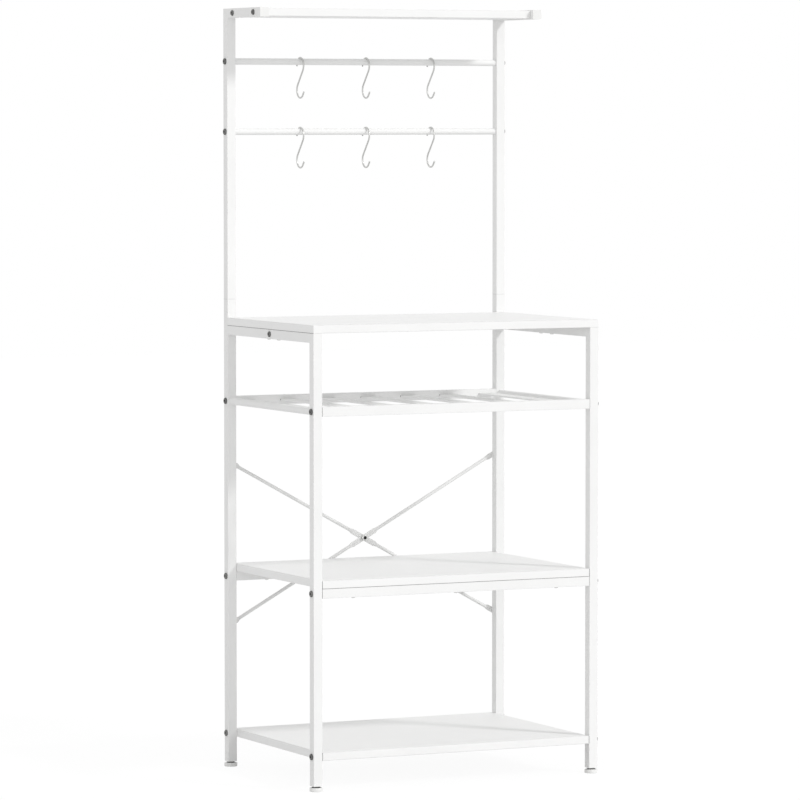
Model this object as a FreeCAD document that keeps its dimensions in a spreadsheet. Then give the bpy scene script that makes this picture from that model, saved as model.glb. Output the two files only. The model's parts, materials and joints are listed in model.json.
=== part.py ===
import FreeCAD, Part
import math
import os
import re

import Sketcher

# A free-standing shelf unit of white square tube and white boards: a tabletop with a slatted rack
# under it, two shelves below, and an upper frame with two hanging rails and a top shelf.
# X runs to the right, Y to the back and Z up. The origin is on the floor, under the middle of the
# box around the whole unit. Lengths are millimetres.

SIZES = {
    # The whole unit, over the faces of its square tubes
    "unit_width": 600,
    "unit_depth": 408,
    "unit_height": 1463,
    # Heights above the floor: undersides of boards and rails, and axes of the hanging rails
    "bottom_board_height": 57.5,
    "middle_rail_height": 361,
    "rack_rail_height": 700,
    "side_rail_height": 837,
    "splice_height": 905.5,
    "lower_hanging_height": 1227,
    "upper_hanging_height": 1362,
    # Square tube of the frame
    "tube_width": 18,
    "tube_wall": 1.2,
    "tube_corner_radius": 0.8,
    # Round tubes
    "rack_tube_diameter": 14,
    "hanging_rail_diameter": 12.5,
    "round_tube_wall": 1.1,
    # Splice sleeves inside the seams between rear and upper posts
    "sleeve_length": 80,
    "sleeve_clearance": 0.1,
    # Top arms and their end caps
    "arm_length": 172,
    "arm_rear_bolt_place": 44.5,
    "arm_front_bolt_place": 141,
    "cap_flange": 1.5,
    "cap_depth": 12,
    # Boards
    "board_thickness": 15,
    "board_chamfer": 0.6,
    "board_gap": 0.3,
    "top_shelf_setback": 12,
    # Slats of the rack
    "slat_width": 30.5,
    "slat_thickness": 3,
    "slat_pitch": 86.2,
    "slot_spare_width": 1.6,
    "slot_clearance": 0.1,
    # Frame bolts with socket heads
    "bolt_diameter": 6,
    "bolt_head_diameter": 12,
    "bolt_head_height": 3,
    "socket_width": 4,
    "socket_depth": 1.8,
    "bolt_hole_clearance": 0.2,
    "thread_clearance": 0.05,
    # Inserts in the rail ends, and barrel nuts in the boards
    "insert_length": 25,
    "insert_clearance": 0.1,
    "rail_bolt_reach": 20,
    "barrel_diameter": 10,
    "barrel_length": 12,
    "barrel_inset": 30,
    "barrel_clearance": 0.1,
    "bolt_end_play": 2,
    # Blocks in the top side rails, which the tabletop's screws pass through
    "cleat_length": 60,
    "cleat_screw_spread": 44,
    # Wood screws
    "screw_diameter": 4,
    "screw_head_diameter": 8,
    "screw_head_height": 2.2,
    "screw_bite": 10,
    "pilot_clearance": 0.05,
    "pilot_end_play": 1,
    # Cross brace on the back
    "brace_centre_height": 432,
    "brace_rise": 319,
    "brace_tube_diameter": 6.5,
    "brace_board_gap": 0.3,
    "brace_flat_width": 10.5,
    "brace_flat_thickness": 2.4,
    "brace_end_flat": 19.5,
    "brace_middle_flat": 26,
    "brace_taper": 8,
    "small_bolt_diameter": 5,
    "small_head_diameter": 9.5,
    "small_head_height": 2.8,
    "small_bolt_grip": 8,
    "centre_head_diameter": 12,
    "centre_nut_width": 8,
    "centre_nut_height": 3,
    "thread_stand_out": 0.6,
    # Levelling feet
    "foot_diameter": 25,
    "foot_thickness": 8,
    "foot_rim_chamfer": 1.2,
    "foot_gap": 2,
    "foot_stem_diameter": 8,
    "foot_stem_length": 34,
    "foot_plug_length": 20,
    "stem_clearance": 0.05,
    # S-hooks
    "hook_wire": 3.2,
    "hook_loop_radius": 15.3,
    "hook_height": 81,
    "hook_upper_tip": 1.6,
    "hook_lower_tip": 8.7,
    "hook_tip_rounding": 1.2,
    "hook_gap": 0.3,
    # How far a cutting shape runs past what it cuts
    "overrun": 5,
}

# Shares of the size that each one follows
SCREW_SPREAD_SHARE = 0.38
HOOK_SPACING_SHARE = 0.25
HOOK_TIP_SHARE = 0.45

# Small round things are drawn with a few flat sides, so that the many fasteners stay light
SHANK_SIDES = 8
HEAD_SIDES = 12
FOOT_SIDES = 24
BAR_SIDES = 12
HOOK_SIDES = 8

# Turn of a hook's wire from one bend to the next, and the steps round a brace bar's end, in degrees
HOOK_BEND_STEP = 22
BAR_END_TURNS = (0, 30, 55, 75)

# How far above or below the middle of its loop a hook's wire turns into the straight tip, in degrees
HOOK_UPPER_OPENING = 0
HOOK_LOWER_OPENING = 40

WORKED = {
    "tube_bore": "tube_width - 2 * tube_wall",
    "sleeve_width": "tube_bore - 2 * sleeve_clearance",
    "inner_width": "unit_width - 2 * tube_width",
    "post_x": "(unit_width - tube_width) / 2",
    "post_foot": "foot_thickness + foot_gap",
    "foot_reach": "(foot_diameter - tube_width) / 2",
    "brace_bend": "(brace_tube_diameter - brace_flat_thickness) / 2 + brace_board_gap",
    "crossing_nut_place": "brace_bend + 1.5 * brace_flat_thickness",
    "crossing_reach": "crossing_nut_place + centre_nut_height + thread_stand_out",
    "brace_end_reach": "brace_flat_thickness + small_head_height",
    "hook_reach": "hook_loop_radius + (hook_wire - tube_width) / 2",
    "back_reach": "max(max(crossing_reach; brace_end_reach); hook_reach)",
    "front_face_y": "(foot_reach - back_reach - unit_depth) / 2",
    "rear_face_y": "front_face_y + unit_depth",
    "front_post_y": "front_face_y + tube_width / 2",
    "rear_post_y": "rear_face_y - tube_width / 2",
    "inner_depth": "unit_depth - 2 * tube_width",
    "side_rail_length": "unit_depth - tube_width",
    "side_rail_middle_y": "front_face_y + side_rail_length / 2",
    "tabletop_height": "side_rail_height + tube_width",
    "middle_board_height": "middle_rail_height + tube_width",
    "top_shelf_height": "unit_height - (tube_width + board_thickness) / 2",
    "board_width": "inner_width - 2 * board_gap",
    "top_shelf_depth": "arm_length - top_shelf_setback",
    "arm_tube_length": "arm_length - cap_flange",
    "bottom_bolt_height": "bottom_board_height + board_thickness / 2",
    "middle_bolt_height": "middle_rail_height + tube_width / 2",
    "rack_bolt_height": "rack_rail_height + tube_width / 2",
    "side_bolt_height": "side_rail_height + tube_width / 2",
    "arm_bolt_height": "unit_height - tube_width / 2",
    "bolt_hole": "bolt_diameter + 2 * bolt_hole_clearance",
    "bolt_thread": "bolt_diameter + 2 * thread_clearance",
    "insert_width": "tube_bore - 2 * insert_clearance",
    "round_insert_width": "hanging_rail_diameter - 2 * round_tube_wall - 2 * insert_clearance",
    "barrel_hole": "barrel_diameter + 2 * barrel_clearance",
    "barrel_hole_depth": "(board_thickness + barrel_length) / 2 + barrel_clearance",
    "board_bolt_depth": "barrel_inset + barrel_diameter / 2 + bolt_end_play",
    "pilot_hole": "screw_diameter + 2 * pilot_clearance",
    "pilot_depth": "screw_bite + pilot_end_play",
    "screw_x": "inner_width * %g" % SCREW_SPREAD_SHARE,
    "brace_half_length": "sqrt(post_x ^ 2 + (brace_rise / 2) ^ 2)",
    "brace_angle": "atan(brace_rise / 2 / post_x)",
    "brace_plane_y": "rear_face_y + brace_flat_thickness / 2",
    "small_thread": "small_bolt_diameter + 2 * thread_clearance",
    "stem_hole": "foot_stem_diameter + 2 * stem_clearance",
    "hook_loop_spread": "hook_height - hook_wire - 2 * hook_loop_radius",
    "hook_lean": "asin(2 * hook_loop_radius / hook_loop_spread)",
    "hook_drop": "hook_loop_radius - (hook_wire + hanging_rail_diameter) / 2 - hook_gap",
    "hook_spacing": "inner_width * %g" % HOOK_SPACING_SHARE,
}

V = FreeCAD.Vector
SIDES = {"left": -1, "right": 1}
HOOK_COLUMNS = {"left": -1, "middle": 0, "right": 1}
SLAT_COUNT = 7
ORIGIN_POINT = (-1, 1)
X_AXIS, Y_AXIS = -1, -2
START, END, MIDDLE = 1, 2, 3

# How near a direction comes to an axis, and a point to a tube's corner, to count as the same
SAME_WAY = 0.999
SAME_PLACE_SHARE = 0.01

# The body plane that a tube along each axis is drawn on, and that axis
PLANES = {
    "X": ("YZ_Plane", V(1, 0, 0)),
    "Y": ("XZ_Plane", V(0, 1, 0)),
    "Z": ("XY_Plane", V(0, 0, 1)),
}

# Turns that point a fastener's head, which is made facing up, some other way
TURNS = {
    "up": FreeCAD.Rotation(),
    "down": FreeCAD.Rotation(V(1, 0, 0), 180),
    "left": FreeCAD.Rotation(V(0, 1, 0), -90),
    "right": FreeCAD.Rotation(V(0, 1, 0), 90),
    "front": FreeCAD.Rotation(V(1, 0, 0), 90),
    "back": FreeCAD.Rotation(V(1, 0, 0), -90),
}

doc = FreeCAD.newDocument("ShelfUnit")
nodes = {}


def make_sheet():
    """Write the driving sizes to the spreadsheet, one row each."""
    sheet = doc.addObject("Spreadsheet::Sheet", "Sizes")
    for row, (name, size) in enumerate(SIZES.items(), start=1):
        sheet.set("A%d" % row, name)
        sheet.set("B%d" % row, str(size))
        sheet.setAlias("B%d" % row, name)
    doc.recompute()
    return sheet


def formula(text):
    """Put the owner's name in front of every size in a formula."""
    def with_owner(match):
        name = match.group(0)
        if name in SIZES:
            return "Sizes." + name
        if name in WORKED:
            return "Worked." + name
        return name
    return re.sub(r"[A-Za-z_]\w*", with_owner, text)


def make_worked_sizes():
    """Keep the sizes that follow from the driving ones, each bound to its formula."""
    worked = doc.addObject("App::VarSet", "Worked")
    for name, text in WORKED.items():
        worked.addProperty("App::PropertyFloat", name)
        worked.setExpression(name, formula(text))
    doc.recompute()
    return worked


sheet = make_sheet()
worked = make_worked_sizes()


def value(text):
    """Work a formula out to a number."""
    return float(sheet.evalExpression(formula(text)))


def bind(item, path, text):
    """Bind one property of an object to a formula."""
    item.setExpression(path, formula(text))


def place(item, x="0", y="0", z="0", turn="up"):
    """Put an object at a point given by three formulas, turned one of the named ways."""
    item.Placement = FreeCAD.Placement(V(value(x), value(y), value(z)), TURNS[turn])
    for axis, text in (("x", x), ("y", y), ("z", z)):
        if text != "0":
            bind(item, "Placement.Base." + axis, text)


def new_body(name):
    """Start an empty body; its label names its file."""
    body = doc.addObject("PartDesign::Body", name)
    body.Label = name
    return body


def keep(item):
    """Count an object among the pieces that are written out."""
    nodes[item.Label] = item
    return item


def new_sketch(body, name, role, offset="0"):
    """Attach a sketch to one of the body's own origin planes, moved along its normal."""
    sketch = body.newObject("Sketcher::SketchObject", name)
    plane = next(item for item in body.Origin.OriginFeatures if item.Role == role)
    sketch.AttachmentSupport = [(plane, "")]
    sketch.MapMode = "FlatFace"
    if offset != "0":
        bind(sketch, "AttachmentOffset.Base.z", offset)
    return sketch


def size_constraint(sketch, kind, ends, text):
    """Add a constraint whose size follows a formula."""
    number = sketch.addConstraint(Sketcher.Constraint(kind, *ends, value(text)))
    label = "size_%d" % number
    sketch.renameConstraint(number, label)
    bind(sketch, "Constraints." + label, text)


def locate(sketch, geometry, point, x, y):
    """Hold one point of a sketch at a place given by two formulas."""
    for kind, axis, text in (("DistanceX", Y_AXIS, x), ("DistanceY", X_AXIS, y)):
        if text == "0":
            sketch.addConstraint(Sketcher.Constraint("PointOnObject", geometry, point, axis))
        else:
            size_constraint(sketch, kind, ORIGIN_POINT + (geometry, point), text)


def draw_outline(sketch, points):
    """Draw a closed outline of straight lines through points given as pairs of formulas."""
    corners = [V(value(x), value(y), 0) for x, y in points]
    count = len(corners)
    first = sketch.GeometryCount
    for number in range(count):
        line = Part.LineSegment(corners[number], corners[(number + 1) % count])
        sketch.addGeometry(line, False)
    for number in range(count):
        after = first + (number + 1) % count
        sketch.addConstraint(Sketcher.Constraint("Coincident", first + number, END, after, START))
        locate(sketch, first + number, START, *points[number])


def draw_rectangle(sketch, wide, high, x="0", y="0"):
    """Draw a rectangle about the point x, y."""
    left, right = ("%s %s (%s) / 2" % (x, sign, wide) for sign in "-+")
    low, top = ("%s %s (%s) / 2" % (y, sign, high) for sign in "-+")
    draw_outline(sketch, ((left, low), (right, low), (right, top), (left, top)))


def draw_circle(sketch, diameter, x="0", y="0"):
    """Draw a circle about the point x, y."""
    circle = Part.Circle(V(value(x), value(y), 0), V(0, 0, 1), value(diameter) / 2)
    number = sketch.addGeometry(circle, False)
    locate(sketch, number, MIDDLE, x, y)
    size_constraint(sketch, "Diameter", (number,), diameter)


def draw_polygon(sketch, diameter, sides, x="0", y="0"):
    """Draw an even polygon about the point x, y, its diameter measured over its flats."""
    corner = "(%s) / 2 / cos(%g)" % (diameter, 180 / sides)
    turns = [360 / sides * (number + 0.5) for number in range(sides)]
    draw_outline(sketch, [
        ("%s + %s * cos(%g)" % (x, corner, turn), "%s + %s * sin(%g)" % (y, corner, turn))
        for turn in turns
    ])


def draw_hole(sketch, diameter, x="0", y="0"):
    """Draw a fastener's small hole or shank."""
    draw_polygon(sketch, diameter, SHANK_SIDES, x, y)


def draw_head(sketch, diameter, x="0", y="0"):
    """Draw a fastener's head, or a hole as wide as one."""
    draw_polygon(sketch, diameter, HEAD_SIDES, x, y)


def pad(body, sketch, length, both_ways=False, backwards=False):
    """Raise a sketch into a solid."""
    feature = body.newObject("PartDesign::Pad", "pad")
    feature.Profile = sketch
    feature.Midplane = both_ways
    feature.Reversed = backwards
    bind(feature, "Length", length)
    return feature


def cut_through(body, sketch, both_ways=True, backwards=False):
    """Cut a sketch all the way, both ways or only away from its plane."""
    feature = body.newObject("PartDesign::Pocket", "cut")
    feature.Profile = sketch
    feature.Type = "ThroughAll"
    feature.Midplane = both_ways
    feature.Reversed = backwards
    return feature


def cut_to_depth(body, sketch, depth, backwards=False):
    """Cut a sketch to a depth: against its normal, or along it when backwards is set."""
    feature = body.newObject("PartDesign::Pocket", "blind_cut")
    feature.Profile = sketch
    feature.Reversed = backwards
    bind(feature, "Length", depth)
    return feature


def dress(body, kind, base, size_name, text, picks):
    """Round or bevel the edges of a feature that a test picks out."""
    doc.recompute()
    names = ["Edge%d" % number for number, edge in enumerate(base.Shape.Edges, start=1) if picks(edge)]
    feature = body.newObject("PartDesign::" + kind, kind.lower())
    feature.Base = (base, names)
    bind(feature, size_name, text)
    return feature


def runs_along(edge, axis):
    """Tell whether an edge is straight and lies along an axis."""
    ends = [vertex.Point for vertex in edge.Vertexes]
    return len(ends) == 2 and abs((ends[1] - ends[0]).normalize().dot(axis)) > SAME_WAY


def is_outer_corner(edge, axis, half):
    """Tell whether an edge is one of the four outer corners of a square tube along an axis."""
    if not runs_along(edge, axis):
        return False
    point = edge.Vertexes[0].Point
    across = point - axis * point.dot(axis)
    return abs(across.Length - half * math.sqrt(2)) < half * SAME_PLACE_SHARE


def square_tube(name, along, length, both_ways=False):
    """Make a square tube along one axis: from the origin (to the front when along Y), or about it."""
    role, axis = PLANES[along]
    body = new_body(name)
    profile = new_sketch(body, "profile", role)
    draw_rectangle(profile, "tube_width", "tube_width")
    draw_rectangle(profile, "tube_bore", "tube_bore")
    tube = pad(body, profile, length, both_ways)
    half = value("tube_width") / 2
    dress(body, "Fillet", tube, "Radius", "tube_corner_radius",
          lambda edge: is_outer_corner(edge, axis, half))
    return keep(body)


def round_tube(name, along, length, diameter, both_ways=False):
    """Make a round tube along one axis, as for the square one."""
    body = new_body(name)
    profile = new_sketch(body, "profile", PLANES[along][0])
    draw_circle(profile, diameter)
    draw_circle(profile, diameter + " - 2 * round_tube_wall")
    pad(body, profile, length, both_ways)
    return keep(body)


def mitre(body, points):
    """Cut the end of a tube at a slant, with a triangle seen from the side."""
    triangle = new_sketch(body, "mitre", "YZ_Plane")
    draw_outline(triangle, points)
    cut_through(body, triangle)


def drill_sideways(body, places, diameter):
    """Drill through a tube along X, at places given as pairs of y and z."""
    holes = new_sketch(body, "side_holes", "YZ_Plane")
    for y, z in places:
        draw_hole(holes, diameter, y, z)
    cut_through(body, holes)


def make_front_post(side):
    """A front post, mitred at the top into the top side rail."""
    body = square_tube("front_post_" + side, "Z", "tabletop_height - post_foot")
    top = "tabletop_height - post_foot"
    front, back = "-tube_width / 2 - overrun", "tube_width / 2 + overrun"
    mitre(body, (
        (front, top + " + overrun"),
        (back, top + " - tube_width - overrun"),
        (back, top + " + overrun"),
    ))
    heights = ("bottom_bolt_height", "middle_bolt_height", "rack_bolt_height")
    drill_sideways(body, [("0", height + " - post_foot") for height in heights], "bolt_hole")
    place(body, "%d * post_x" % SIDES[side], "front_post_y", "post_foot")


def make_rear_post(side):
    """A rear post up to the seam, with the brace's threaded holes in its back wall."""
    body = square_tube("rear_post_" + side, "Z", "splice_height - post_foot")
    heights = ("bottom_bolt_height", "middle_bolt_height", "rack_bolt_height")
    drill_sideways(body, [("0", height + " - post_foot") for height in heights], "bolt_hole")
    back_holes = new_sketch(body, "brace_holes", "XZ_Plane")
    for sign in "-+":
        height = "brace_centre_height %s brace_rise / 2 - post_foot" % sign
        draw_hole(back_holes, "small_thread", "0", height)
    cut_through(body, back_holes, both_ways=False)
    place(body, "%d * post_x" % SIDES[side], "rear_post_y", "post_foot")


def make_upper_post(side):
    """An upper post from the seam to the top, mitred into the top arm."""
    body = square_tube("upper_post_" + side, "Z", "unit_height - splice_height")
    top = "unit_height - splice_height"
    front, back = "-tube_width / 2 - overrun", "tube_width / 2 + overrun"
    mitre(body, (
        (back, top + " + overrun"),
        (front, top + " - tube_width - overrun"),
        (front, top + " + overrun"),
    ))
    heights = ("lower_hanging_height", "upper_hanging_height")
    drill_sideways(body, [("0", height + " - splice_height") for height in heights], "bolt_hole")
    place(body, "%d * post_x" % SIDES[side], "rear_post_y", "splice_height")


def make_top_side_rail(side):
    """A rail from front to back under the tabletop, drilled at mid length for its block and screws."""
    body = square_tube("top_side_rail_" + side, "Y", "side_rail_length")
    front = "-side_rail_length - overrun"
    mitre(body, (
        (front, "tube_width / 2 + overrun"),
        ("tube_width - side_rail_length + overrun", "-tube_width / 2 - overrun"),
        (front, "-tube_width / 2 - overrun"),
    ))
    bolt_side = new_sketch(body, "bolt_hole", "YZ_Plane")
    draw_hole(bolt_side, "bolt_hole", "-side_rail_length / 2", "0")
    cut_through(body, bolt_side, both_ways=False, backwards=side == "right")
    screw_holes = new_sketch(body, "screw_holes", "XY_Plane")
    for end in (-1, 1):
        draw_hole(screw_holes, "pilot_hole", "0", "%d * cleat_screw_spread / 2 - side_rail_length / 2" % end)
    cut_through(body, screw_holes)
    place(body, "%d * post_x" % SIDES[side], "rear_face_y - tube_width", "side_bolt_height")


def make_top_arm(side):
    """An arm that carries the top shelf, mitred at the back onto the upper post."""
    body = square_tube("top_arm_" + side, "Y", "arm_tube_length")
    mitre(body, (
        ("overrun", "tube_width / 2 + overrun"),
        ("overrun", "-tube_width / 2 - overrun"),
        ("-tube_width - overrun", "-tube_width / 2 - overrun"),
    ))
    drill_sideways(body, [("-arm_rear_bolt_place", "0"), ("-arm_front_bolt_place", "0")], "bolt_hole")
    place(body, "%d * post_x" % SIDES[side], "rear_face_y", "arm_bolt_height")


def make_arm_cap(side):
    """A plastic cap that closes the front end of an arm."""
    body = new_body("arm_cap_" + side)
    face = new_sketch(body, "flange_profile", "XZ_Plane")
    draw_rectangle(face, "tube_width", "tube_width")
    flange = pad(body, face, "cap_flange")
    half = value("tube_width") / 2
    dress(body, "Fillet", flange, "Radius", "tube_corner_radius",
          lambda edge: is_outer_corner(edge, V(0, 1, 0), half))
    inner = new_sketch(body, "inner_profile", "XZ_Plane")
    draw_rectangle(inner, "insert_width", "insert_width")
    pad(body, inner, "cap_depth", backwards=True)
    place(body, "%d * post_x" % SIDES[side], "rear_face_y - arm_tube_length", "arm_bolt_height")
    keep(body)


def make_splice_sleeve(side):
    """The sleeve inside the seam between a rear post and its upper post."""
    body = new_body("splice_sleeve_" + side)
    profile = new_sketch(body, "profile", "XY_Plane")
    draw_rectangle(profile, "sleeve_width", "sleeve_width")
    draw_rectangle(profile, "sleeve_width - 2 * tube_wall", "sleeve_width - 2 * tube_wall")
    pad(body, profile, "sleeve_length")
    place(body, "%d * post_x" % SIDES[side], "rear_post_y", "splice_height - sleeve_length / 2")
    keep(body)


def make_board(name, wide, deep):
    """A board with lightly bevelled edges, its underside on the body's origin plane."""
    body = new_body(name)
    profile = new_sketch(body, "profile", "XY_Plane")
    draw_rectangle(profile, wide, deep)
    blank = pad(body, profile, "board_thickness")
    dress(body, "Chamfer", blank, "Size", "board_chamfer", lambda edge: True)
    return keep(body)


def drill_for_barrels(body, wide, rows):
    """Drill a board's two ends for bolts, and its underside for the barrel nuts they end in."""
    for sign, backwards in (("-", True), ("", False)):
        ends = new_sketch(body, "end_holes", "YZ_Plane", "%s(%s) / 2" % (sign, wide))
        for y in rows:
            draw_hole(ends, "bolt_hole", y, "board_thickness / 2")
        cut_to_depth(body, ends, "board_bolt_depth", backwards)
    under = new_sketch(body, "barrel_holes", "XY_Plane")
    for sign in ("-", ""):
        for y in rows:
            draw_hole(under, "barrel_hole", "%s((%s) / 2 - barrel_inset)" % (sign, wide), y)
    cut_to_depth(body, under, "barrel_hole_depth", backwards=True)


def drill_pilots(body, places):
    """Drill blind pilot holes for wood screws in a board's underside."""
    pilots = new_sketch(body, "pilot_holes", "XY_Plane")
    for x, y in places:
        draw_hole(pilots, "pilot_hole", x, y)
    cut_to_depth(body, pilots, "pilot_depth", backwards=True)


def make_boards():
    """The tabletop, the middle board, the bottom board and the top shelf."""
    tabletop = make_board("tabletop_board", "unit_width", "side_rail_length")
    drill_pilots(tabletop, [
        ("%d * post_x" % sign, "%d * cleat_screw_spread / 2" % end)
        for sign in SIDES.values() for end in (-1, 1)
    ])
    place(tabletop, "0", "side_rail_middle_y", "tabletop_height")

    middle = make_board("middle_board", "board_width", "unit_depth")
    drill_pilots(middle, [
        ("%d * screw_x" % column, "%d * (unit_depth - tube_width) / 2" % end)
        for column in (-1, 0, 1) for end in (-1, 1)
    ])
    place(middle, "0", "(front_face_y + rear_face_y) / 2", "middle_board_height")

    bottom = make_board("bottom_board", "board_width", "unit_depth")
    rows = ("-(unit_depth - tube_width) / 2", "(unit_depth - tube_width) / 2")
    drill_for_barrels(bottom, "board_width", rows)
    place(bottom, "0", "(front_face_y + rear_face_y) / 2", "bottom_board_height")

    top = make_board("top_shelf_board", "board_width", "top_shelf_depth")
    rows = ("top_shelf_depth / 2 - arm_rear_bolt_place", "top_shelf_depth / 2 - arm_front_bolt_place")
    drill_for_barrels(top, "board_width", rows)
    place(top, "0", "rear_face_y - top_shelf_depth / 2", "top_shelf_height")


def make_cleat(side):
    """A block inside a top side rail: a bolt holds it, and the tabletop's screws pass through it."""
    body = new_body("tabletop_cleat_" + side)
    profile = new_sketch(body, "profile", "XZ_Plane")
    draw_rectangle(profile, "insert_width", "insert_width")
    pad(body, profile, "cleat_length", both_ways=True)
    drill_sideways(body, [("0", "0")], "bolt_thread")
    screw_holes = new_sketch(body, "screw_holes", "XY_Plane")
    for end in (-1, 1):
        draw_hole(screw_holes, "pilot_hole", "0", "%d * cleat_screw_spread / 2" % end)
    cut_through(body, screw_holes)
    place(body, "%d * post_x" % SIDES[side], "side_rail_middle_y", "side_bolt_height")
    keep(body)


def make_rack():
    """The slatted rack: rails between the posts, slats held in slots of the rails, and side tubes."""
    slat_places = ["%g * slat_pitch" % (number - (SLAT_COUNT - 1) / 2) for number in range(SLAT_COUNT)]
    for end in ("front", "rear"):
        rail = square_tube("rack_%s_rail" % end, "X", "inner_width", both_ways=True)
        slots = new_sketch(rail, "slat_slots", "XZ_Plane")
        for slat_x in slat_places:
            draw_rectangle(slots, "slat_width + slot_spare_width",
                           "slat_thickness + 2 * slot_clearance", slat_x)
        cut_through(rail, slots, both_ways=False, backwards=end == "rear")
        place(rail, "0", end + "_post_y", "rack_bolt_height")
    for number, slat_x in enumerate(slat_places, start=1):
        slat = new_body("rack_slat_%d" % number)
        profile = new_sketch(slat, "profile", "XZ_Plane")
        draw_rectangle(profile, "slat_width", "slat_thickness")
        pad(slat, profile, "inner_depth + 2 * tube_wall", both_ways=True)
        place(slat, slat_x, "(front_face_y + rear_face_y) / 2", "rack_bolt_height")
        keep(slat)
    for side, sign in SIDES.items():
        tube = round_tube("rack_side_tube_" + side, "Y", "inner_depth", "rack_tube_diameter", both_ways=True)
        place(tube, "%d * post_x" % sign, "(front_face_y + rear_face_y) / 2", "rack_bolt_height")


def make_middle_rails():
    """The two rails that carry the middle board, drilled upwards for its screws."""
    for end in ("front", "rear"):
        rail = square_tube("middle_%s_rail" % end, "X", "inner_width", both_ways=True)
        holes = new_sketch(rail, "screw_holes", "XY_Plane")
        for column in (-1, 0, 1):
            draw_hole(holes, "pilot_hole", "%d * screw_x" % column, "0")
        cut_through(rail, holes)
        place(rail, "0", end + "_post_y", "middle_bolt_height")


def make_hanging_rails():
    """The two round rails between the upper posts."""
    for level in ("lower", "upper"):
        rail = round_tube("hanging_rail_" + level, "X", "inner_width", "hanging_rail_diameter",
                          both_ways=True)
        place(rail, "0", "rear_post_y", level + "_hanging_height")


def headed_fastener(name, shank, length, head, height):
    """A plain bolt or screw: its head faces up from the origin, and its shank points down."""
    body = new_body(name)
    head_profile = new_sketch(body, "head_profile", "XY_Plane")
    draw_head(head_profile, head)
    pad(body, head_profile, height)
    shank_profile = new_sketch(body, "shank_profile", "XY_Plane")
    draw_hole(shank_profile, shank)
    pad(body, shank_profile, length, backwards=True)
    return body


def group(name, master, places):
    """Set copies of one fastener at the given places: one node of separate solids."""
    copies = []
    for x, y, z, turn in places:
        copy = doc.addObject("App::Link", name + "_copy")
        copy.LinkedObject = master
        place(copy, x, y, z, turn)
        copies.append(copy)
    compound = doc.addObject("Part::Compound", name)
    compound.Label = name
    compound.Links = copies
    return keep(compound)


def both_sides(x, rows):
    """Repeat rows of y and z on the left, turned left, and on the right, turned right."""
    return [("%d * (%s)" % (sign, x), y, z, side) for side, sign in SIDES.items() for y, z in rows]


def make_frame_bolts():
    """The bolts in the outer faces of the frame, by what each one holds."""
    post_rows = ("front_post_y", "rear_post_y")
    rails = [(y, z) for y in post_rows for z in ("middle_bolt_height", "rack_bolt_height")]
    boards = [(y, "bottom_bolt_height") for y in post_rows]
    boards += [("rear_face_y - arm_%s_bolt_place" % end, "arm_bolt_height") for end in ("rear", "front")]
    hanging = [("rear_post_y", level + "_hanging_height") for level in ("lower", "upper")]
    cleats = [("side_rail_middle_y", "side_bolt_height")]
    kinds = (
        ("rail_bolts", "tube_width + rail_bolt_reach", rails),
        ("hanging_rail_bolts", "tube_width + rail_bolt_reach", hanging),
        ("board_bolts", "tube_width + board_gap + board_bolt_depth - bolt_end_play", boards),
        ("cleat_bolts", "tube_width - 2 * tube_wall", cleats),
    )
    for name, length, rows in kinds:
        master = headed_fastener(name + "_master", "bolt_diameter", length, "bolt_head_diameter",
                                 "bolt_head_height")
        group(name, master, both_sides("unit_width / 2", rows))


def plug(name, draw, width, draw_bore, bore, length):
    """A plug with a threaded hole along it: its outer end at the origin, the rest below."""
    body = new_body(name)
    profile = new_sketch(body, "profile", "XY_Plane")
    draw(profile, width)
    draw_bore(profile, bore)
    pad(body, profile, length, backwards=True)
    return body


def draw_square(sketch, width):
    """Draw a square about the sketch's origin."""
    draw_rectangle(sketch, width, width)


def make_inserts():
    """The threaded inserts in the rail ends, the barrel nuts, and the plugs that take the feet."""
    square = plug("square_insert_master", draw_square, "insert_width",
                  draw_hole, "bolt_thread", "insert_length")
    rows = [(y, z) for y in ("front_post_y", "rear_post_y")
            for z in ("middle_bolt_height", "rack_bolt_height")]
    group("square_tube_inserts", square, both_sides("inner_width / 2", rows))

    thin = plug("round_insert_master", draw_circle, "round_insert_width",
                draw_hole, "bolt_thread", "insert_length")
    rows = [("rear_post_y", level + "_hanging_height") for level in ("lower", "upper")]
    group("round_tube_inserts", thin, both_sides("inner_width / 2", rows))

    foot = plug("foot_plug_master", draw_square, "insert_width",
                draw_head, "stem_hole", "foot_plug_length")
    places = [("%d * post_x" % sign, y, "post_foot", "down")
              for sign in SIDES.values() for y in ("front_post_y", "rear_post_y")]
    group("post_foot_plugs", foot, places)

    barrel = new_body("barrel_master")
    profile = new_sketch(barrel, "profile", "XY_Plane")
    draw_hole(profile, "barrel_diameter")
    pad(barrel, profile, "barrel_length", both_ways=True)
    drill_sideways(barrel, [("0", "0")], "bolt_thread")
    rows = [(y, "bottom_bolt_height") for y in ("front_post_y", "rear_post_y")]
    rows += [("rear_face_y - arm_%s_bolt_place" % end, "arm_bolt_height") for end in ("rear", "front")]
    places = [("%d * (board_width / 2 - barrel_inset)" % sign, y, z, "up")
              for sign in SIDES.values() for y, z in rows]
    group("barrel_nuts", barrel, places)


def make_wood_screws():
    """The screws up through the top side rails and the middle rails into the boards on them."""
    screw = headed_fastener("wood_screw_master", "screw_diameter", "tube_width + screw_bite",
                            "screw_head_diameter", "screw_head_height")
    places = [("%d * post_x" % sign, "side_rail_middle_y + %d * cleat_screw_spread / 2" % end,
               "side_rail_height", "down")
              for sign in SIDES.values() for end in (-1, 1)]
    group("cleat_screws", screw, places)

    places = [("%d * screw_x" % column, y, "middle_rail_height", "down")
              for column in (-1, 0, 1) for y in ("front_post_y", "rear_post_y")]
    group("middle_board_screws", screw, places)


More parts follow.
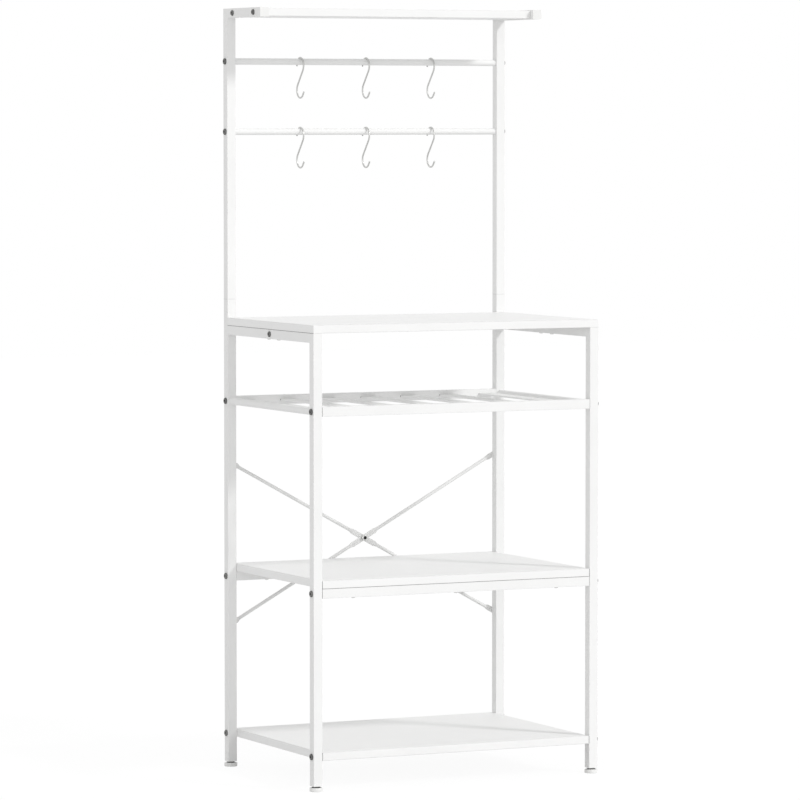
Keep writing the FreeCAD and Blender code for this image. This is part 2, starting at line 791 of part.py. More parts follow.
def pressed_section(x, wide, thick, middle_y):
    """Outline a brace bar's section at x: round where wide equals thick, else flat with round edges."""
    points = []
    half_sides = BAR_SIDES // 2
    for side in (1, -1):
        for number in range(half_sides):
            if wide == thick:
                turn = math.pi * ((number + 0.5) / half_sides - 0.5)
                radius = thick / 2 / math.cos(math.pi / BAR_SIDES)
            else:
                turn = math.pi * (number / (half_sides - 1) - 0.5)
                radius = thick / 2
            z = side * ((wide - thick) / 2 + radius * math.cos(turn))
            y = middle_y + side * radius * math.sin(turn)
            points.append(V(x, y, z))
    return Part.makePolygon(points + points[:1])


def brace_hole(x, angle):
    """The cutter for a bolt hole at x in a brace bar, turned so that it's upright in the leaning bar."""
    reach = 2 * value("brace_tube_diameter")
    radius = value("small_thread") / 2 / math.cos(math.pi / SHANK_SIDES)
    corners = []
    for number in range(SHANK_SIDES + 1):
        turn = 2 * math.pi * (number + 0.5) / SHANK_SIDES - math.radians(angle)
        corners.append(V(x + radius * math.cos(turn), -reach, radius * math.sin(turn)))
    return Part.Face(Part.makePolygon(corners)).extrude(V(0, 2 * reach, 0))


def make_brace_bar(name, lean, layer):
    """One brace bar: a round tube pressed flat at both ends, and at the middle in its own layer.

    The flat ends lie on the posts, and the round stretches stand back to pass behind the middle board.
    """
    tube = value("brace_tube_diameter")
    wide = value("brace_flat_width")
    thick = value("brace_flat_thickness")
    half = value("brace_half_length")
    taper = value("brace_taper")
    end_flat = half - value("brace_end_flat")
    middle_flat = value("brace_middle_flat")
    round_y = value("brace_bend")
    middle_y = round_y + layer * thick / 2
    half_stations = [
        (middle_flat, wide, thick, middle_y),
        (middle_flat + taper, tube, tube, round_y),
        (end_flat - taper, tube, tube, round_y),
        (end_flat, wide, thick, 0),
    ]
    for turn in BAR_END_TURNS:
        angle = math.radians(turn)
        half_stations.append((half + wide / 2 * math.sin(angle), wide * math.cos(angle), thick, 0))
    stations = [(-x, *rest) for x, *rest in reversed(half_stations)] + half_stations
    solid = Part.makeLoft([pressed_section(*station) for station in stations], True, True)
    angle = lean * value("brace_angle")
    for x in (-half, 0, half):
        solid = solid.cut(brace_hole(x, angle))
    bar = doc.addObject("Part::Feature", name)
    bar.Label = name
    bar.Shape = solid
    turn = FreeCAD.Rotation(V(0, 1, 0), -angle)
    bar.Placement = FreeCAD.Placement(V(0, value("brace_plane_y"), value("brace_centre_height")), turn)
    keep(bar)


def make_brace():
    """The crossed bars on the back, the bolt and nut at their crossing, and their end bolts."""
    make_brace_bar("brace_bar_rising", 1, -1)
    make_brace_bar("brace_bar_falling", -1, 1)

    bolt = headed_fastener("brace_centre_bolt", "small_bolt_diameter",
                           "2 * brace_flat_thickness + centre_nut_height + thread_stand_out",
                           "centre_head_diameter", "bolt_head_height")
    socket = new_sketch(bolt, "socket", "XY_Plane", "bolt_head_height")
    draw_polygon(socket, "socket_width", 6)
    cut_to_depth(bolt, socket, "socket_depth")
    place(bolt, "0", "brace_plane_y + brace_bend - brace_flat_thickness", "brace_centre_height", "front")
    keep(bolt)

    nut = new_body("brace_centre_nut")
    profile = new_sketch(nut, "profile", "XY_Plane")
    draw_polygon(profile, "centre_nut_width", 6)
    draw_hole(profile, "small_thread")
    pad(nut, profile, "centre_nut_height")
    place(nut, "0", "rear_face_y + crossing_nut_place", "brace_centre_height", "back")
    keep(nut)

    end_bolt = headed_fastener("brace_end_bolt_master", "small_bolt_diameter",
                               "brace_flat_thickness + small_bolt_grip", "small_head_diameter",
                               "small_head_height")
    places = [("%d * post_x" % sign, "rear_face_y + brace_flat_thickness",
               "brace_centre_height + %d * brace_rise / 2" % end, "back")
              for sign in SIDES.values() for end in (-1, 1)]
    group("brace_end_bolts", end_bolt, places)


def make_foot(end, side):
    """A levelling foot: a round pad with bevelled rims, and its stem."""
    body = new_body("foot_%s_%s" % (end, side))
    pad_profile = new_sketch(body, "pad_profile", "XY_Plane")
    draw_polygon(pad_profile, "foot_diameter", FOOT_SIDES)
    disc = pad(body, pad_profile, "foot_thickness")
    dress(body, "Chamfer", disc, "Size", "foot_rim_chamfer", lambda edge: not runs_along(edge, V(0, 0, 1)))
    stem = new_sketch(body, "stem_profile", "XY_Plane", "foot_thickness / 2")
    draw_circle(stem, "foot_stem_diameter")
    pad(body, stem, "foot_thickness / 2 + foot_stem_length")
    place(body, "%d * post_x" % SIDES[side], end + "_post_y", "0")
    keep(body)


def turned_arm(angle, length):
    """A vector in the hook's plane, at an angle in degrees from straight back."""
    turn = math.radians(angle)
    return V(0, math.cos(turn), math.sin(turn)) * length


def bend_angles(start, end):
    """Angles from start to end in equal turns of about one bend step each."""
    count = round(abs(end - start) / HOOK_BEND_STEP)
    return [start + (end - start) * number / count for number in range(count + 1)]


def hook_stations():
    """Follow a hook's wire from its upper tip to its lower one: the place and radius of each section."""
    radius = value("hook_loop_radius")
    wire = value("hook_wire") / 2
    rounding = value("hook_tip_rounding")
    lean = value("hook_lean")
    lower = V(0, 0, -value("hook_loop_spread"))
    upper_loop = [turned_arm(angle, radius) for angle in bend_angles(HOOK_UPPER_OPENING, 180 + lean)]
    lower_loop = [lower + turned_arm(angle, radius) for angle in bend_angles(lean, HOOK_LOWER_OPENING - 180)]
    upper_way = turned_arm(HOOK_UPPER_OPENING - 90, 1)
    lower_way = turned_arm(HOOK_LOWER_OPENING + 90, 1)
    stations = [(point, wire) for point in upper_loop + lower_loop]
    for index, end, way, tip in (
        (0, upper_loop[0], upper_way, value("hook_upper_tip")),
        (len(stations) + 2, lower_loop[-1], lower_way, value("hook_lower_tip")),
    ):
        shoulder = (end + way * (tip - rounding), wire)
        point = (end + way * tip, HOOK_TIP_SHARE * wire)
        stations[index:index] = [point, shoulder] if index == 0 else [shoulder, point]
    return stations


def hook_solid():
    """Loft a hook's wire through eight-sided sections that stand square to the bends."""
    stations = hook_stations()
    points = [point for point, radius in stations]
    sections = []
    for number, (point, radius) in enumerate(stations):
        before = points[max(number - 1, 0)]
        after = points[min(number + 1, len(points) - 1)]
        inward = (point - before).normalize() if number else (after - point).normalize()
        onward = (after - point).normalize() if after != point else inward
        along = (inward + onward).normalize()
        corner = radius / math.cos(math.pi / HOOK_SIDES)
        stretch = corner / inward.dot(along)
        across = V(1, 0, 0).cross(along)
        corners = []
        for side in range(HOOK_SIDES + 1):
            angle = 2 * math.pi * (side + 0.5) / HOOK_SIDES
            corners.append(point + V(corner * math.cos(angle), 0, 0) + across * stretch * math.sin(angle))
        sections.append(Part.makePolygon(corners))
    return Part.makeLoft(sections, True, True)


def make_hooks():
    """The S-hooks: each one wire bent into two loops, hung on a rail by the upper one."""
    solid = hook_solid()
    for level in ("lower", "upper"):
        for column, step in HOOK_COLUMNS.items():
            hook = doc.addObject("Part::Feature", "hook_%s_%s" % (level, column))
            hook.Label = "hook_%s_%s" % (level, column)
            hook.Shape = solid
            place(hook, "%d * hook_spacing" % step, "rear_post_y", level + "_hanging_height - hook_drop")
            keep(hook)


def check_document():
    """Stop if a feature failed, a cut removed nothing, or a kept piece isn't a sound solid."""
    for item in doc.Objects:
        if "Invalid" in item.State or "Error" in item.State:
            raise RuntimeError("%s failed: %s" % (item.Label, item.State))
        if item.TypeId == "PartDesign::Pocket" and item.Shape.Volume >= item.BaseFeature.Shape.Volume:
            raise RuntimeError("%s cut nothing in %s" % (item.Label, item.getParent().Label))
    for name, item in nodes.items():
        shape = item.Shape
        if shape.isNull() or not shape.isValid() or not shape.Solids:
            raise RuntimeError("%s has no sound solid" % name)


def write_parts():
    """Write each kept piece to its own file."""
    os.makedirs("parts", exist_ok=True)
    for name, item in nodes.items():
        item.Shape.exportStep("parts/%s.step" % name)


def main():
    for side in SIDES:
        make_front_post(side)
        make_rear_post(side)
        make_upper_post(side)
        make_top_side_rail(side)
        make_top_arm(side)
        make_arm_cap(side)
        make_splice_sleeve(side)
        make_cleat(side)
    make_boards()
    make_rack()
    make_middle_rails()
    make_hanging_rails()
    make_frame_bolts()
    make_inserts()
    make_wood_screws()
    make_brace()
    for end in ("front", "rear"):
        for side in SIDES:
            make_foot(end, side)
    make_hooks()
    doc.recompute()
    check_document()
    write_parts()
    solids = sum(len(item.Shape.Solids) for item in nodes.values())
    print("%d pieces in %d files" % (solids, len(nodes)))


main()
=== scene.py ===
# %% [markdown]
# # A shelf unit of square tube and boards
#
# The real unit is a flat-pack frame of white powder-coated square tube. White boards lie in it, a
# slatted rack hangs under its tabletop, and an upper frame carries two hanging rails with S-hooks.
# The CAD frame gives every piece its place. This script gives each piece its finish, and makes
# again, in finer detail, what the CAD model keeps plain: bolts, screws, hooks, brace bars and feet.

# %% Load the frame
import json
import math

import bpy
from mathutils import Matrix, Vector


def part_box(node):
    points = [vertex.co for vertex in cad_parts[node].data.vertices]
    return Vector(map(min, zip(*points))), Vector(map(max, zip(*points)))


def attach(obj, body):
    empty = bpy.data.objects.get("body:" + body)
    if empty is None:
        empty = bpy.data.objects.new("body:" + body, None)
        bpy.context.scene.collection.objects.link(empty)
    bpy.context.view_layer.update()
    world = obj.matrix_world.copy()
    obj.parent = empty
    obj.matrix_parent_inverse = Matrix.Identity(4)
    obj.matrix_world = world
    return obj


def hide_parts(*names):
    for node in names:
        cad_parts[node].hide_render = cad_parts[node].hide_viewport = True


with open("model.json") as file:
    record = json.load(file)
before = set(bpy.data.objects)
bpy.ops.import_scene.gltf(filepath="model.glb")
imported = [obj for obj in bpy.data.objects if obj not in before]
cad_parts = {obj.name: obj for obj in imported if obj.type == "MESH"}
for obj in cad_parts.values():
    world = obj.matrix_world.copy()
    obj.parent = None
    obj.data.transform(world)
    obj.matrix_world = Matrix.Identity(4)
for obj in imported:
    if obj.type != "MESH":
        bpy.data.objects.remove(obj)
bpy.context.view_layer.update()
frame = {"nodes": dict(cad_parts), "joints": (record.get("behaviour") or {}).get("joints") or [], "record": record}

nodes = frame["nodes"]

# %% [markdown]
# Places are read from the frame wherever it holds them, so that a piece can't drift from what
# carries it. These helpers read a node's box: its middle, and its low and high corners.

# %% Read places from the frame
MM = 0.001


def low(node):
    """The lowest corner of a CAD node."""
    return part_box(node)[0]


def high(node):
    """The highest corner of a CAD node."""
    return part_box(node)[1]


def middle(node):
    """The middle of a CAD node's box."""
    return (low(node) + high(node)) / 2


tube_width = high("front_post_right").x - low("front_post_right").x
print("square tube: %.1f mm" % (tube_width / MM))

# %% [markdown]
# ## The camera
#
# The photograph was taken from the left, from far away, with a long lens. The posts stay upright and
# parallel in it, as they do when a level lens is slid down to take in the floor. A slide that large
# would push the unit out of the picture in every other view, so this camera tips down instead. Its
# place, turn, tip and lens line up the posts' and boards' corners with the photograph's, most of
# them to about a pixel and none by more than two.

# %% Place the camera
CAMERA_PLACE = Vector((-4.04767, -8.22507, 1.25499))
CAMERA_TURN = math.radians(-26.0898)
CAMERA_TIP = math.radians(90 - 3.3836)
CAMERA_LENS = 215.243
CAMERA_SENSOR = 36.0
CAMERA_REACH = 60.0

camera_data = bpy.data.cameras.new("photo_camera")
camera_data.lens = CAMERA_LENS
camera_data.sensor_width = CAMERA_SENSOR
camera_data.clip_end = CAMERA_REACH
camera = bpy.data.objects.new("photo_camera", camera_data)
camera.location = CAMERA_PLACE
camera.rotation_euler = (CAMERA_TIP, 0.0, CAMERA_TURN)
bpy.context.scene.collection.objects.link(camera)
bpy.context.scene.camera = camera
print("camera distance: %.2f m" % CAMERA_PLACE.length)

# %% [markdown]
# ## Finishes
#
# Each finish is a Principled shader fed by a small group of noise textures. The group reads Object
# coordinates, so the grain keeps its real size on every piece. It gives out two things: a soft
# patchy mask, for slow changes of colour and gloss, and a bumped normal for the fine grain.

# %% A shared group for grain
GRAIN_INPUTS = (("Grain per metre", 900.0), ("Grain depth", 0.02), ("Patches per metre", 9.0))
PATCH_DETAIL = 3.0
GRAIN_DETAIL = 2.0


def grain_group():
    """Make the node group that turns Object coordinates into a patchy mask and a grained normal."""
    tree = bpy.data.node_groups.new("fine_grain", "ShaderNodeTree")
    for name, start in GRAIN_INPUTS:
        socket = tree.interface.new_socket(name, in_out="INPUT", socket_type="NodeSocketFloat")
        socket.default_value = start
    tree.interface.new_socket("Patches", in_out="OUTPUT", socket_type="NodeSocketFloat")
    tree.interface.new_socket("Normal", in_out="OUTPUT", socket_type="NodeSocketVector")
    inputs = tree.nodes.new("NodeGroupInput")
    outputs = tree.nodes.new("NodeGroupOutput")
    place = tree.nodes.new("ShaderNodeTexCoord")
    patches = tree.nodes.new("ShaderNodeTexNoise")
    patches.inputs["Detail"].default_value = PATCH_DETAIL
    grain = tree.nodes.new("ShaderNodeTexNoise")
    grain.inputs["Detail"].default_value = GRAIN_DETAIL
    bump = tree.nodes.new("ShaderNodeBump")
    bump.inputs["Strength"].default_value = 1.0
    depth = tree.nodes.new("ShaderNodeMath")
    depth.operation = "MULTIPLY"
    depth.inputs[1].default_value = MM
    join = tree.links.new
    join(place.outputs["Object"], patches.inputs["Vector"])
    join(place.outputs["Object"], grain.inputs["Vector"])
    join(inputs.outputs["Patches per metre"], patches.inputs["Scale"])
    join(inputs.outputs["Grain per metre"], grain.inputs["Scale"])
    join(inputs.outputs["Grain depth"], depth.inputs[0])
    join(depth.outputs["Value"], bump.inputs["Distance"])
    join(grain.outputs["Fac"], bump.inputs["Height"])
    join(patches.outputs["Fac"], outputs.inputs["Patches"])
    join(bump.outputs["Normal"], outputs.inputs["Normal"])
    return tree


fine_grain = grain_group()
print("group made:", fine_grain.name)

# %% [markdown]
# A finish starts from the same few nodes: the grain group, a colour that drifts a little between
# two shades over the patches, and a gloss that does the same.

# %% Build a finish
PATCH_EDGES = (0.35, 0.65)


def mix_colour(tree, mask, first, second):
    """Blend two colours by a mask. Each colour is three numbers or another node's output."""
    mix = tree.nodes.new("ShaderNodeMix")
    mix.data_type = "RGBA"
    tree.links.new(mask, mix.inputs["Factor"])
    for socket, colour in ((mix.inputs[6], first), (mix.inputs[7], second)):
        if isinstance(colour, tuple):
            socket.default_value = (*colour, 1.0)
        else:
            tree.links.new(colour, socket)
    return mix.outputs[2]


def map_range(tree, value, start, end, low_result, high_result):
    """Stretch a value from one range to another, held inside it."""
    node = tree.nodes.new("ShaderNodeMapRange")
    tree.links.new(value, node.inputs["Value"])
    names = ("From Min", "From Max", "To Min", "To Max")
    for name, number in zip(names, (start, end, low_result, high_result)):
        node.inputs[name].default_value = number
    return node.outputs["Result"]


def finish(name, dark, light, gloss_range, grain, metal=0.0, shine=0.5):
    """Make a finish: two near shades, a roughness range, and grain as (per metre, depth in mm)."""
    material = bpy.data.materials.new(name)
    material.use_nodes = True
    tree = material.node_tree
    shader = tree.nodes["Principled BSDF"]
    shader.inputs["Metallic"].default_value = metal
    shader.inputs["Specular IOR Level"].default_value = shine
    group = tree.nodes.new("ShaderNodeGroup")
    group.node_tree = fine_grain
    group.inputs["Grain per metre"].default_value = grain[0]
    group.inputs["Grain depth"].default_value = grain[1]
    patches = map_range(tree, group.outputs["Patches"], *PATCH_EDGES, 0.0, 1.0)
    colour = mix_colour(tree, patches, dark, light)
    tree.links.new(colour, shader.inputs["Base Color"])
    tree.links.new(map_range(tree, patches, 0.0, 1.0, *gloss_range), shader.inputs["Roughness"])
    tree.links.new(group.outputs["Normal"], shader.inputs["Normal"])
    return material


POWDER_SHINE = 0.2
POWDER_GLOSS = (0.48, 0.56)
POWDER_GRAIN = (900.0, 0.004)
ZINC_GRAIN = (1500.0, 0.02)
SHADE_GLOSS = (0.6, 0.7)
SHADE_GRAIN = (650.0, 0.02)
powder_coat = finish("white_powder_coat", (0.845, 0.845, 0.84), (0.865, 0.865, 0.86),
                     POWDER_GLOSS, POWDER_GRAIN, shine=POWDER_SHINE)
# The brace bars' white is a little darker than the frame's: painted shade, for the shade the bars lie in at the
# back of the unit.
brace_coat_painted_shade = finish("brace_powder_coat_painted_shade", (0.775, 0.775, 0.77), (0.8, 0.8, 0.795),
                    POWDER_GLOSS, POWDER_GRAIN, shine=POWDER_SHINE)
bolt_zinc = finish("dark_zinc", (0.12, 0.12, 0.118), (0.18, 0.18, 0.176), (0.3, 0.42), ZINC_GRAIN, metal=1.0)
bright_zinc = finish("bright_zinc", (0.6, 0.6, 0.59), (0.7, 0.7, 0.69), (0.2, 0.32), ZINC_GRAIN, metal=1.0)
hook_nickel = finish("hook_nickel", (0.57, 0.57, 0.56), (0.63, 0.63, 0.62),
                     (0.42, 0.5), (2500.0, 0.004), metal=1.0)
# Near-black painted shade for the inside of the crossing bolt's socket.
socket_painted_shade = finish("socket_painted_shade", (0.03, 0.03, 0.03), (0.05, 0.05, 0.05), SHADE_GLOSS, ZINC_GRAIN)
# Grey painted shade for the hairline gap at each seam.
seam_painted_shade = finish("seam_painted_shade", (0.3, 0.3, 0.295), (0.34, 0.34, 0.335), SHADE_GLOSS, SHADE_GRAIN)
# Dark painted shade for the joint lines and the gaps beside the slats' ends.
joint_shade = finish("joint_shade", (0.12, 0.12, 0.118), (0.15, 0.15, 0.148), SHADE_GLOSS, SHADE_GRAIN)
white_plastic = finish("white_plastic", (0.8, 0.8, 0.79), (0.83, 0.83, 0.82), (0.45, 0.55), (1400.0, 0.02))
print("finishes made:", len(bpy.data.materials))

# %% [markdown]
# The boards are particle board in white melamine with a fine pressed grain, and a band of the same
# white is glued round the edges. The bevel where the band meets the face shows as a faint grey
# line. The surface normal tells it from the rest: only on the bevel does it slant halfway between
# level and upright.

# %% The boards' melamine
SLANT = 0.707
SLANT_REACH = 0.2
BEVEL_COLOUR = (0.78, 0.78, 0.77)

melamine = finish("white_melamine", (0.85, 0.85, 0.845), (0.87, 0.87, 0.865), (0.4, 0.48), (420.0, 0.035))
tree = melamine.node_tree
shader = tree.nodes["Principled BSDF"]
surface = tree.nodes.new("ShaderNodeNewGeometry")
parts = tree.nodes.new("ShaderNodeSeparateXYZ")
tree.links.new(surface.outputs["True Normal"], parts.inputs["Vector"])
upright = tree.nodes.new("ShaderNodeMath")
upright.operation = "ABSOLUTE"
tree.links.new(parts.outputs["Z"], upright.inputs[0])
bevel_mask = tree.nodes.new("ShaderNodeMath")
bevel_mask.operation = "COMPARE"
bevel_mask.inputs[1].default_value = SLANT
bevel_mask.inputs[2].default_value = SLANT_REACH
tree.links.new(upright.outputs["Value"], bevel_mask.inputs[0])
face_colour = shader.inputs["Base Color"].links[0].from_socket
line_colour = mix_colour(tree, bevel_mask.outputs["Value"], face_colour, BEVEL_COLOUR)
tree.links.new(line_colour, shader.inputs["Base Color"])
print("melamine nodes:", len(tree.nodes))

# %% [markdown]
# The CAD nodes whose shape is right only need their finish. The record's material slot of each node
# says what it is made of.

# %% Dress the CAD nodes
FINISH_OF_SLOT = {
    "white_frame": powder_coat,
    "white_board": melamine,
    "white_plastic": white_plastic,
    "dark_bolt": bolt_zinc,
    "bright_steel": bright_zinc,
    "inner_steel": bright_zinc,
    "chrome_wire": hook_nickel,
}
for part in frame["record"]["subparts"]:
    mesh = nodes[part["node"]].data
    mesh.materials.clear()
    mesh.materials.append(FINISH_OF_SLOT[part["material_slot"]])

# %% [markdown]
# ## Turned pieces
#
# Bolt heads, screw heads and feet are turned on a lathe. Each is made here as a stack of rings of
# points about the Z axis, joined by faces. A ring may also follow a hexagon or a cross, which gives
# the socket for a key or the recess for a screwdriver without any cutting.

# %% Rings and skins
RING_POINTS = 48
SHARP_ANGLE = math.radians(35)


def round_ring(radius):
    """A ring's radius at any angle, for a circle."""
    return lambda angle: radius


def hexagon_ring(across_flats):
    """A ring's radius at any angle, for a hexagon."""
    sixth = math.pi / 3
    return lambda angle: across_flats / 2 / math.cos((angle + sixth / 2) % sixth - sixth / 2)


def cross_ring(reach, arm_width):
    """A ring's radius at any angle, for a cross with four arms."""
    def radius(angle):
        from_arm = abs((angle + math.pi / 4) % (math.pi / 2) - math.pi / 4)
        side = arm_width / 2
        return reach if reach * math.sin(from_arm) <= side else side / math.sin(from_arm)
    return radius


def ringed_mesh(name, vertices, count):
    """Join rings of count points each into one smooth mesh, with its first and last ring closed."""
    faces = []
    last = len(vertices) - count
    for base in range(0, last, count):
        above = base + count
        for number in range(count):
            after = (number + 1) % count
            faces.append((base + number, base + after, above + after, above + number))
    faces.append(tuple(range(count - 1, -1, -1)))
    faces.append(tuple(range(last, last + count)))
    mesh = bpy.data.meshes.new(name)
    mesh.from_pydata(vertices, [], faces)
    mesh.shade_smooth()
    return mesh


def skin(name, rings):
    """Make a closed mesh from rings about the Z axis, each given as (radius function, height)."""
    vertices = []
    for radius, height in rings:
        for number in range(RING_POINTS):
            angle = 2 * math.pi * number / RING_POINTS
            vertices.append((radius(angle) * math.cos(angle), radius(angle) * math.sin(angle), height))
    mesh = ringed_mesh(name, vertices, RING_POINTS)
    mesh.set_sharp_from_angle(angle=SHARP_ANGLE)
    return mesh


def add_object(name, mesh, material=None):
    """Link a mesh as an object at the origin."""
    piece = bpy.data.objects.new(name, mesh)
    bpy.context.scene.collection.objects.link(piece)
    if material:
        mesh.materials.clear()
        mesh.materials.append(material)
    return piece


print("points in a ring:", RING_POINTS)

# %% [markdown]
# The frame bolts have low rounded heads with a hexagon socket. The profile below starts at the
# bearing face, rounds over the rim, dips into the socket and ends on its floor.

# %% A bolt head with a socket
ROUNDING_STEPS = 6
SOCKET_RIM_SHARE = 0.62
SOCKET_TIP_SHARE = 0.12
SOCKET_LEAD_IN = 0.25 * MM
SOCKET_TIP_DEPTH = 0.4 * MM


def arc_rings(radius, height, corner):
    """Rings that round a rim over from the side to the top."""
    rings = []
    for step in range(ROUNDING_STEPS + 1):
        angle = math.pi / 2 * step / ROUNDING_STEPS
        rings.append((round_ring(radius - corner + corner * math.cos(angle)),
                      height - corner + corner * math.sin(angle)))
    return rings


def socket_head(name, diameter, height, corner, socket_width, socket_depth):
    """A round head with a socket, its bearing face on the origin, facing up."""
    rings = [(round_ring(diameter / 2), 0.0)]
    rings += arc_rings(diameter / 2, height, corner)
    rings.append((round_ring(socket_width * SOCKET_RIM_SHARE), height))
    rings.append((hexagon_ring(socket_width), height - SOCKET_LEAD_IN))
    rings.append((hexagon_ring(socket_width), height - socket_depth))
    rings.append((round_ring(socket_width * SOCKET_TIP_SHARE), height - socket_depth - SOCKET_TIP_DEPTH))
    return skin(name, rings)


BOLT_HEAD_HEIGHT = low("front_post_left").x - low("rail_bolts").x
BOLT_HEAD_DIAMETER = high("cleat_bolts").z - low("cleat_bolts").z
BOLT_HEAD_ROUNDING = 1.6 * MM
BOLT_SOCKET = 4.0 * MM
BOLT_SOCKET_DEPTH = 1.8 * MM
ARM_HEAD_SHARE = 0.88
ARM_SOCKET = 3.6 * MM
bolt_head = socket_head("bolt_head", BOLT_HEAD_DIAMETER, BOLT_HEAD_HEIGHT,
                        BOLT_HEAD_ROUNDING, BOLT_SOCKET, BOLT_SOCKET_DEPTH)
arm_head = socket_head("arm_head", BOLT_HEAD_DIAMETER * ARM_HEAD_SHARE, BOLT_HEAD_HEIGHT,
                       BOLT_HEAD_ROUNDING, ARM_SOCKET, BOLT_SOCKET_DEPTH)
print("bolt head: %.1f mm wide, %.1f mm high" % (BOLT_HEAD_DIAMETER / MM, BOLT_HEAD_HEIGHT / MM))

# %% [markdown]
# The same head sits at many places, so Geometry Nodes set it there. The tree takes a mesh whose
# points are the places, each with a direction that its head faces. Every head is turned about its
# own axis by a random angle, because real bolts stop wherever they are tight. Realize Instances
# makes real faces of the copies, which the export needs.

# %% A tree that sets heads on points
TURN_SEED = 7


def heads_tree():
    """Build the Geometry Nodes tree that sets one head on every point."""
    tree = bpy.data.node_groups.new("set_heads", "GeometryNodeTree")
    tree.interface.new_socket("Geometry", in_out="INPUT", socket_type="NodeSocketGeometry")
    tree.interface.new_socket("Head", in_out="INPUT", socket_type="NodeSocketObject")
    tree.interface.new_socket("Finish", in_out="INPUT", socket_type="NodeSocketMaterial")
    tree.interface.new_socket("Geometry", in_out="OUTPUT", socket_type="NodeSocketGeometry")
    make = tree.nodes.new
    join = tree.links.new
    inputs, outputs = make("NodeGroupInput"), make("NodeGroupOutput")
    facing = make("GeometryNodeInputNamedAttribute")
    facing.data_type = "FLOAT_VECTOR"
    facing.inputs["Name"].default_value = "facing"
    aim = make("FunctionNodeAlignRotationToVector")
    aim.axis = "Z"
    turn = make("FunctionNodeRandomValue")
    turn.data_type = "FLOAT_VECTOR"
    turn.inputs["Max"].default_value = (0.0, 0.0, 2 * math.pi)
    turn.inputs["Seed"].default_value = TURN_SEED
    spin = make("FunctionNodeRotateRotation")
    spin.rotation_space = "LOCAL"
    euler = make("FunctionNodeEulerToRotation")
    head = make("GeometryNodeObjectInfo")
    copies = make("GeometryNodeInstanceOnPoints")
    real = make("GeometryNodeRealizeInstances")
    paint = make("GeometryNodeSetMaterial")
    join(facing.outputs["Attribute"], aim.inputs["Vector"])
    join(turn.outputs["Value"], euler.inputs["Euler"])
    join(aim.outputs["Rotation"], spin.inputs["Rotation"])
    join(euler.outputs["Rotation"], spin.inputs["Rotate By"])
    join(inputs.outputs["Head"], head.inputs["Object"])
    join(inputs.outputs["Geometry"], copies.inputs["Points"])
    join(head.outputs["Geometry"], copies.inputs["Instance"])
    join(spin.outputs["Rotation"], copies.inputs["Rotation"])
    join(copies.outputs["Instances"], real.inputs["Geometry"])
    join(real.outputs["Geometry"], paint.inputs["Geometry"])
    join(inputs.outputs["Finish"], paint.inputs["Material"])
    join(paint.outputs["Geometry"], outputs.inputs["Geometry"])
    return tree


set_heads = heads_tree()
print("tree made:", set_heads.name)

# %% [markdown]
# To use the tree, a scratch object gets a point for each place, and a modifier with the head and
# the finish. The evaluated result is copied to a plain mesh, and the scratch object goes away.

# %% Set heads and bake them
def set_input(modifier, name, value):
    """Give a modifier's input its value, found by the input's name in the tree."""
    for item in modifier.node_group.interface.items_tree:
        if item.item_type == "SOCKET" and item.in_out == "INPUT" and item.name == name:
            modifier[item.identifier] = value


def placed_heads(name, head_mesh, material, places):
    """Set a head at each place, given as (point, direction), and bake the result to a piece."""
    points = bpy.data.meshes.new(name + "_places")
    points.from_pydata([point for point, direction in places], [], [])
    facing = points.attributes.new("facing", "FLOAT_VECTOR", "POINT")
    for number, (point, direction) in enumerate(places):
        facing.data[number].vector = direction
    maker = add_object(name + "_maker", points)
    head = add_object(name + "_head", head_mesh)
    modifier = maker.modifiers.new("set heads", "NODES")
    modifier.node_group = set_heads
    set_input(modifier, "Head", head)
    set_input(modifier, "Finish", material)
    depsgraph = bpy.context.evaluated_depsgraph_get()
    baked = bpy.data.meshes.new_from_object(maker.evaluated_get(depsgraph), depsgraph=depsgraph)
    bpy.data.objects.remove(maker)
    bpy.data.objects.remove(head)
    piece = add_object(name, baked)
    print("%s: %d heads" % (name, len(places)))
    return piece


LEFT, RIGHT = Vector((-1, 0, 0)), Vector((1, 0, 0))
BACK, DOWN = Vector((0, 1, 0)), Vector((0, 0, -1))

# %% [markdown]
# Eleven dark heads show in each side of the frame: one wherever a rail or a board ends on a post,
# two in each top arm, and one at mid length of the top side rail. The last three are a little smaller.

# %% The frame bolts
ARM_BOLT_PLACES = (44.5 * MM, 141.0 * MM)


def side_places(rows):
    """Repeat rows of (y, z) on the frame's left and right outer faces."""
    left, right = low("front_post_left").x, high("front_post_right").x
    places = [(Vector((left, y, z)), LEFT) for y, z in rows]
    return places + [(Vector((right, y, z)), RIGHT) for y, z in rows]


post_ys = (middle("front_post_left").y, middle("rear_post_left").y)
rear_face = high("rear_post_left").y
rail_rows = [(y, middle(rail).z) for y in post_ys for rail in ("middle_front_rail", "rack_front_rail")]
board_rows = [(y, middle("bottom_board").z) for y in post_ys]
arm_rows = [(rear_face - place, middle("top_shelf_board").z) for place in ARM_BOLT_PLACES]
hanging_rows = [(post_ys[1], middle("hanging_rail_" + level).z) for level in ("lower", "upper")]
cleat_rows = [(middle("tabletop_cleat_left").y, middle("top_side_rail_left").z)]
for name, node, head_mesh, rows in (
    ("rail_bolts_detail", "rail_bolts", bolt_head, rail_rows),
    ("board_bolts_detail", "board_bolts", bolt_head, board_rows),
    ("arm_bolts_detail", "board_bolts", arm_head, arm_rows),
    ("hanging_rail_bolts_detail", "hanging_rail_bolts", bolt_head, hanging_rows),
    ("cleat_bolts_detail", "cleat_bolts", arm_head, cleat_rows),
):
    piece = placed_heads(name, head_mesh, bolt_zinc, side_places(rows))
    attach(piece, "frame")
    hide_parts(node)

# %% [markdown]
# The brace's end bolts face backwards, and the wood screws under the boards face down. The screws
# have pan heads with a cross recess.

# %% The brace's end bolts
PAN_ROUNDING_SHARE = 0.8
CROSS_REACH_SHARE = 0.75
CROSS_ARM_SHARE = 0.8


